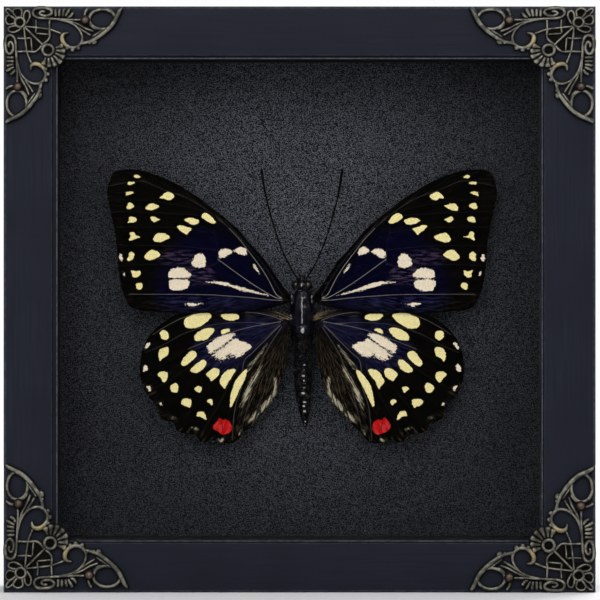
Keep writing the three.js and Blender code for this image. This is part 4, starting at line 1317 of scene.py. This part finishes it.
body = {
    # half width against height: thorax, waist and abdomen
    "profile": [(4.2, 0.05), (3.7, 1.6), (2, 2.55), (-1, 3), (-4.5, 2.95), (-7.2, 2.55), (-9, 2.05),
                (-11, 2.2), (-14, 2.35), (-17.5, 2.4), (-21, 2.25), (-24.5, 1.9), (-27, 1.45),
                (-29.5, 0.95), (-31, 0.45), (-31.5, 0.05)],
    "seams": [-9.3, -12.9, -16.0, -19.0, -22.1, -25.1, -28.3, -31.6],
    "rings": 300, "around": 56, "tailDrift": 0.9, "driftFrom": -10, "driftLength": 21.6, "lean": 0.32,
    # the segments between the seams: least share of the half width, and how much more in the middle
    "segmentLow": 0.91, "segmentRise": 0.11,
    # relief of the thorax: how high or deep, at which height, over what height
    "scutellum": (0.4, -6.9, 1.15), "crease": (0.25, -5.3, 0.28),
    # the two long grooves: how deep, how far to the side, how wide, where they end and how fast
    "groove": (0.1, 0.8, 0.08, -5.2, 2.2),
    # rounded parts: middle, radii, points round and bands. Those in pairs are drawn on the right.
    "head": ((0, 0.2, 4.9), (1.5, 1.5, 1.6), 32, 20),
    "collar": ((0, -0.7, 3.6), (1.5, 0.8, 0.5), 24, 12),
    "eye": ((1.6, -0.4, 5.0), (1.12, 1.25, 1.3), 32, 22),
    "tegula": ((2.6, -0.7, 1.2), (0.8, 0.8, 1.9), 20, 14),
    "hindShoulder": ((2.7, -0.2, -3.6), (1.0, 0.8, 1.9), 20, 14),
    # the scutellum's glossy light grey blob is a painted highlight
    "scutellumHighlight": ((0.15, -2.88, -6.5), (0.5, 0.3, 0.75), 16, 12),
    # palps and legs: course and half thickness along it
    "palps": [([(0.45, -0.3, 5.9), (0.6, -0.5, 7.0), (0.55, -0.2, 8.2)], [0.42, 0.36, 0.12]),
              ([(0.8, -0.8, 5.9), (1.3, -0.5, 7.4)], [0.3, 0.12])],
    "leg": [(1.2, 2.2, 0), (2.6, 3.1, -2.4), (2.2, 3.4, -5.6)], "legWidths": [0.3, 0.26, 0.14],
    "legTops": (1.5, -1.8, -5),
    # light grey glossy spots along the abdomen, painted highlights: height, distance right of its middle
    # line, half width
    "highlightSpots": [(-15.3, 0.45, 0.44), (-16.7, 0.38, 0.28), (-18.1, 0.2, 0.5), (-19.4, 0.25, 0.3),
                  (-21.1, 0.3, 0.5), (-22.6, 0.0, 0.62), (-24.8, 0.2, 0.5), (-25.9, 0.0, 0.4),
                  (-27.2, 0.1, 0.44), (-29.8, 0.1, 0.26), (-30.7, -0.1, 0.22)],
    "highlightSpotHeight": 0.33, "highlightSpotDepth": 0.2, "highlightSpotSink": 0.12,
    # how far the scaly finish runs above the first seam
    "scalesAbove": 1.4,
}


def trunkRadius(z):
    heights = [p[0] for p in body["profile"]][::-1]
    radii = [p[1] for p in body["profile"]][::-1]
    radius = float(np.interp(z, heights, radii))
    seams = body["seams"]
    for upper, lower in zip(seams, seams[1:]):
        if lower <= z <= upper:
            share = (upper - z) / (upper - lower)
            rounded = math.sin(math.pi * min(1, share * 0.92 + 0.04)) ** 0.55
            radius *= body["segmentLow"] + body["segmentRise"] * rounded
    return radius


def drift(z):
    return body["tailDrift"] * (max(0, body["driftFrom"] - z) / body["driftLength"]) ** 1.5


def bodyPlace(x, y, z):
    return Vector((butterfly["x"] + x, butterfly["depth"] + y, butterfly["z"] + z)) * mm


def trunk(start=0):
    rings = []
    top, bottom = body["profile"][0][0], body["profile"][-1][0]
    smoothHeights = np.linspace(top, bottom, body["rings"])
    radii = np.array([trunkRadius(z) for z in smoothHeights])
    radii = np.convolve(np.pad(radii, 2, mode="edge"), [0.1, 0.2, 0.4, 0.2, 0.1], "valid")
    scutellum, scutellumAt, scutellumWidth = body["scutellum"]
    crease, creaseAt, creaseWidth = body["crease"]
    groove, aside, grooveWidth, grooveEnd, grooveFade = body["groove"]
    for z, radius in zip(smoothHeights, radii):
        ring = []
        onThorax = 1 / (1 + math.exp(-(z - grooveEnd) * grooveFade))
        for k in range(body["around"]):
            turn = 2 * math.pi * k / body["around"]
            side, back = math.sin(turn), math.cos(turn)  # back is 1 towards the viewer
            shown = max(back, 0)
            swell = radius + body["lean"] * side * shown
            swell += scutellum * math.exp(-((z - scutellumAt) / scutellumWidth) ** 2) * shown ** 3
            swell -= groove * onThorax * math.exp(-((abs(side) - aside) / grooveWidth) ** 2) * shown
            swell -= crease * math.exp(-((z - creaseAt) / creaseWidth) ** 2) * shown
            swell = max(swell, 0.02)
            ring.append(bodyPlace(drift(z) + swell * side, -swell * back, z))
        rings.append(ring)
    return loft(rings, start)


def onSide(side, points):
    return [(side * x, y, z) for x, y, z in points]


def limb(points, thickness, sides=10, start=0):
    path = through(points, 0.25)
    radii = np.interp(np.linspace(0, 1, len(path)), np.linspace(0, 1, len(thickness)), thickness)
    radii = radii * roundEnds(len(path), 0.08) * mm
    return tube([bodyPlace(*p) for p in path], radii, sides, start)


def putRounded(parts, name, side=1, finish=0):
    middle, radii, around, bands = body[name]
    put(parts, ball, bodyPlace(side * middle[0], *middle[1:]), [r * mm for r in radii], around, bands,
        finish=finish)


def makeBody():
    parts = gather()
    put(parts, trunk)
    putRounded(parts, "head")
    putRounded(parts, "collar")
    for side in (-1, 1):
        putRounded(parts, "eye", side, finish=1)
        putRounded(parts, "tegula", side)
        putRounded(parts, "hindShoulder", side)
        for course, widths in body["palps"]:
            put(parts, limb, onSide(side, course), widths, finish=2)
        for top in body["legTops"]:
            leg = [(x, y, top + z) for x, y, z in body["leg"]]
            put(parts, limb, onSide(side, leg), body["legWidths"], 8)
    # a painted highlight blob on the scutellum, and painted highlight spots along the abdomen
    putRounded(parts, "scutellumHighlight", finish=3)
    for z, x, wide in body["highlightSpots"]:
        surface = math.sqrt(trunkRadius(z) ** 2 - x ** 2)
        radii = [wide * mm, body["highlightSpotDepth"] * mm, body["highlightSpotHeight"] * mm]
        put(parts, ball, bodyPlace(drift(z) + x, body["highlightSpotSink"] - surface, z), radii, 14, 9, finish=3)
    finishes = [cuticle, eyeGloss, scaly, paintedHighlight]
    piece = newPiece("butterfly_trunk", parts["vertices"], parts["faces"], finishes)
    heights = [piece.data.vertices[face[0]].co.z / mm - butterfly["z"] for face in parts["faces"]]
    onAbdomen = body["seams"][0] + body["scalesAbove"]
    chosen = [2 if f == 0 and z < onAbdomen else f for f, z in zip(parts["finishes"], heights)]
    piece.data.polygons.foreach_set("material_index", chosen)
    pointOutwards(piece)
    return piece


bodyHair = {"Density": 1.5e7, "Length": 0.9 * mm, "Thickness": 0.02 * mm, "Ruffle": 0.25, "Seed": 7,
            "Finish": hairDark}
# how dense each area's hair is, and which way all of it lies
hairShares = {"flank": 0.4, "tail": 0.2, "head": 0.6, "outwards": 0.55, "down": -0.8}


# Hair is thick beside the thorax and on the head, thin along the abdomen.
def makeBodyHair(piece):
    mesh = piece.data
    places = np.zeros(len(mesh.vertices) * 3)
    mesh.vertices.foreach_get("co", places)
    places = places.reshape(-1, 3) / mm
    x = np.abs(places[:, 0] - butterfly["x"])
    z = places[:, 2] - butterfly["z"]
    normals = np.array([tuple(v.normal) for v in mesh.vertices])
    share = hairShares
    flank = share["flank"] * np.clip((x - 2.2) / 0.8, 0, 1) * (z > -9) * (z < 4)
    tail = share["tail"] * (z < -9) * np.clip((x - 0.8) / 1.4, 0, 1)
    head = share["head"] * (z >= 3.4) * (z < 6.4) * (x < 0.9)
    store(mesh, "hair", np.clip(flank + tail + head, 0, 1))
    lie = normals * share["outwards"] + np.array([0, 0, share["down"]])
    store(mesh, "lie", lie, "FLOAT_VECTOR")
    return realised(hairTree, piece, bodyHair, "body_hair")


# Tan tufts that stand out between the roots of the two wings of a side.
tuft = {"root": (3.0, -0.9, -3.5), "tip": (7.8, -1.2, -1.7), "strands": 20, "spread": 0.95,
        "shortest": 0.35, "widths": [0.04, 0.02], "bend": (0, -0.3, 0.12)}


def makeTuft(side):
    t = tuft
    shuffle = random.Random(41 if side < 0 else 43)
    parts = gather()
    for _ in range(t["strands"]):
        shake = [shuffle.uniform(-1, 1) * t["spread"] for _ in range(3)]
        reach = shuffle.uniform(t["shortest"], 1.0)
        root, tip = Vector(t["root"]), Vector(t["tip"])
        first = root + Vector(shake) * 0.5
        last = root + (tip - root) * reach + Vector(shake)
        middle = (first + last) / 2 + Vector(t["bend"])
        put(parts, limb, onSide(side, (first, middle, last)), t["widths"], 5)
    name = "tuft_left" if side < 0 else "tuft_right"
    piece = newPiece(name, parts["vertices"], parts["faces"], [hairTan])
    pointOutwards(piece)
    finishPiece(piece, "insect_body")


antenna = {
    "route": [(0.9, -0.5, 5.9), (1.4, -0.5, 7.2), (2.3, -0.6, 8.6), (3.7, -0.8, 11.1), (5.4, -0.9, 15),
              (7, -0.9, 19.6), (8.5, -0.7, 24.9), (9.6, -0.5, 29.7), (10.4, -0.3, 35.1)],
    "radius": 0.23, "club": 1.6, "clubStart": 0.86, "pitch": 0.42, "joint": 0.16,
}


def makeAntenna(side):
    a = antenna
    path = through(onSide(side, a["route"]), 0.12)
    share = np.linspace(0, 1, len(path))
    grow = np.clip((share - a["clubStart"]) / (1 - a["clubStart"]), 0, 1)
    swell = 1 + (a["club"] - 1) * np.sin(np.minimum(grow * 1.25, 1) * math.pi / 2)
    length = np.concatenate([[0], np.cumsum(np.linalg.norm(np.diff(path, axis=0), axis=1))])
    joints = 1 - a["joint"] * np.abs(np.sin(math.pi * length / a["pitch"])) ** 6
    radii = a["radius"] * swell * joints * roundEnds(len(path), 0.012) * mm
    vertices, faces = tube([bodyPlace(*p) for p in path], radii, 12)
    name = "antenna_left" if side < 0 else "antenna_right"
    piece = newPiece(name + "_thread", vertices, faces, [threadBlack])
    pointOutwards(piece)
    finishPiece(piece, "insect_body", name)


trunkPiece = makeBody()
trunkHair = makeBodyHair(trunkPiece)
finishPiece(trunkPiece, "insect_body", "butterfly_body")
finishPiece(trunkHair, "insect_body")
for side in (-1, 1):
    makeTuft(side)
    makeAntenna(side)
print("body and antennae made")


# Finishes for the CAD pieces that stay

def coat(finish, *names):
    for name in names:
        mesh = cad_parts[name].data
        mesh.materials.clear()
        mesh.materials.append(finish)


coat(glass, "glass")
coat(card, "spacer_top", "spacer_left", "spacer_right")
# Only the bottom strip takes the backing's lighter finish, as painted light where light falls on it; the
# other three stay black card.
coat(leatherette, "backing_sheet", "spacer_bottom")  # the bottom strip is covered like the backing
coat(foam, "foam_board")
coat(hardboard, "back_panel")
coat(steel, *[f"tab_{k}" for k in range(1, 9)], "hanger", "hanger_nail_left", "hanger_nail_right")
coat(glueFinish, "glue_pad")


# Stage, lights and camera

studio = {
    "camera": (0.0001, -1.070, 0.0741), "lens": 250, "sensor": 36,
    "aim": (0, 0, 0.07),
    # the side lamps leave no streaks on the body, also through the glass
    "key": {"place": (0.0, -0.95, 0.72), "size": (1.3, 0.5), "power": 5.8, "mirrored": True},
    "left": {"place": (-0.95, -0.85, 0.25), "size": (0.5, 0.7), "power": 1.7, "mirrored": False},
    "right": {"place": (0.95, -0.85, 0.25), "size": (0.5, 0.7), "power": 1.5, "mirrored": False},
    "rear": {"place": (0.5, 1.1, 0.9), "size": (1.0, 0.8), "power": 17.0, "mirrored": True},
    "ambient": 0.60, "floor": 0.8,
    # the mirrored room: where it fades towards the front, how bright it is low and high, and the least
    "towards": (-0.9, -0.3), "lift": (-0.2, 0.9, 0.06, 0.4), "darkest": 0.004,
    # a bright upright panel left of the camera, outside what the glass mirrors
    "panel": {"across": -0.195, "halfWidth": 0.05, "fade": 0.015, "low": -0.4, "high": 0.45,
              "edge": 0.1, "front": (-0.75, -0.85), "brightness": 9.0},
}


def makeLight(name, place, size, power, mirrored):
    data = bpy.data.lights.new(name, "AREA")
    data.shape = "RECTANGLE"
    data.size, data.size_y = size
    data.energy = power
    lamp = linked(name, data)
    lamp.location = place
    lamp.rotation_euler = (Vector(studio["aim"]) - Vector(place)).to_track_quat("-Z", "Y").to_euler()
    lamp.visible_glossy = mirrored
    lamp.visible_transmission = mirrored


def makeFloor():
    made, tree, surface = material("pale floor")
    cloud = use(tree, grain, Scale=12.0, Detail=3.0, Softness=0.3)
    colour = mix(tree, cloud["Mask"], (0.86, 0.86, 0.86), (0.90, 0.90, 0.90))
    dress(tree, surface, Base_Color=colour, Roughness=0.9, Specular_IOR_Level=0.1)
    half = studio["floor"]
    corners = [(-half, -half, 0), (half, -half, 0), (half, half, 0), (-half, half, 0)]
    floor = newPiece("floor", corners, [(0, 1, 2, 3)], [made], smooth=False)
    floor.visible_glossy = False
    floor.visible_transmission = False


# The camera sees white, matt surfaces get soft grey light, and the front glass mirrors a dark room.
def makeWorld():
    world = bpy.data.worlds.new("studio")
    bpy.context.scene.world = world
    world.use_nodes = True
    tree = world.node_tree
    tree.nodes.clear()
    rays = node(tree, "ShaderNodeLightPath").outputs
    direction = node(tree, "ShaderNodeTexCoord").outputs["Generated"]
    parts = node(tree, "ShaderNodeSeparateXYZ", {0: direction}).outputs
    towards = rise(tree, parts["Y"], *studio["towards"])
    mirrored = times(tree, towards, rise(tree, parts["Z"], *studio["lift"]))
    p = studio["panel"]
    sideways = maths(tree, "ABSOLUTE", minus(tree, parts["X"], p["across"]))
    inner, outer = p["halfWidth"] - p["fade"], p["halfWidth"] + p["fade"]
    panel = rise(tree, sideways, outer, inner, 0.0, p["brightness"])
    panel = times(tree, panel, rise(tree, parts["Y"], *p["front"]))
    panel = times(tree, panel, rise(tree, parts["Z"], p["low"], p["low"] + p["edge"]))
    panel = times(tree, panel, rise(tree, parts["Z"], p["high"], p["high"] - p["edge"]))
    mirrored = plus(tree, plus(tree, mirrored, panel), studio["darkest"])
    ambient = studio["ambient"]
    room = combine(tree, mirrored, mirrored, mirrored)
    soft = mix(tree, rays["Is Diffuse Ray"], room, (ambient, ambient, ambient * 1.03))
    seen = mix(tree, rays["Is Camera Ray"], soft, (1.0, 1.0, 1.0))
    sky = node(tree, "ShaderNodeBackground", {"Color": seen}).outputs[0]
    end = node(tree, "ShaderNodeOutputWorld")
    tree.links.new(sky, end.inputs["Surface"])


def makeCamera():
    data = bpy.data.cameras.new("camera")
    data.lens, data.sensor_width = studio["lens"], studio["sensor"]
    camera = linked("camera", data)
    camera.location = studio["camera"]
    camera.rotation_euler = (math.radians(90), 0, 0)
    bpy.context.scene.camera = camera


for lamp in ("key", "left", "right", "rear"):
    makeLight(lamp, **studio[lamp])
makeFloor()
makeWorld()
makeCamera()
bpy.context.scene.view_settings.view_transform = "Standard"
print("stage, lights and camera set")
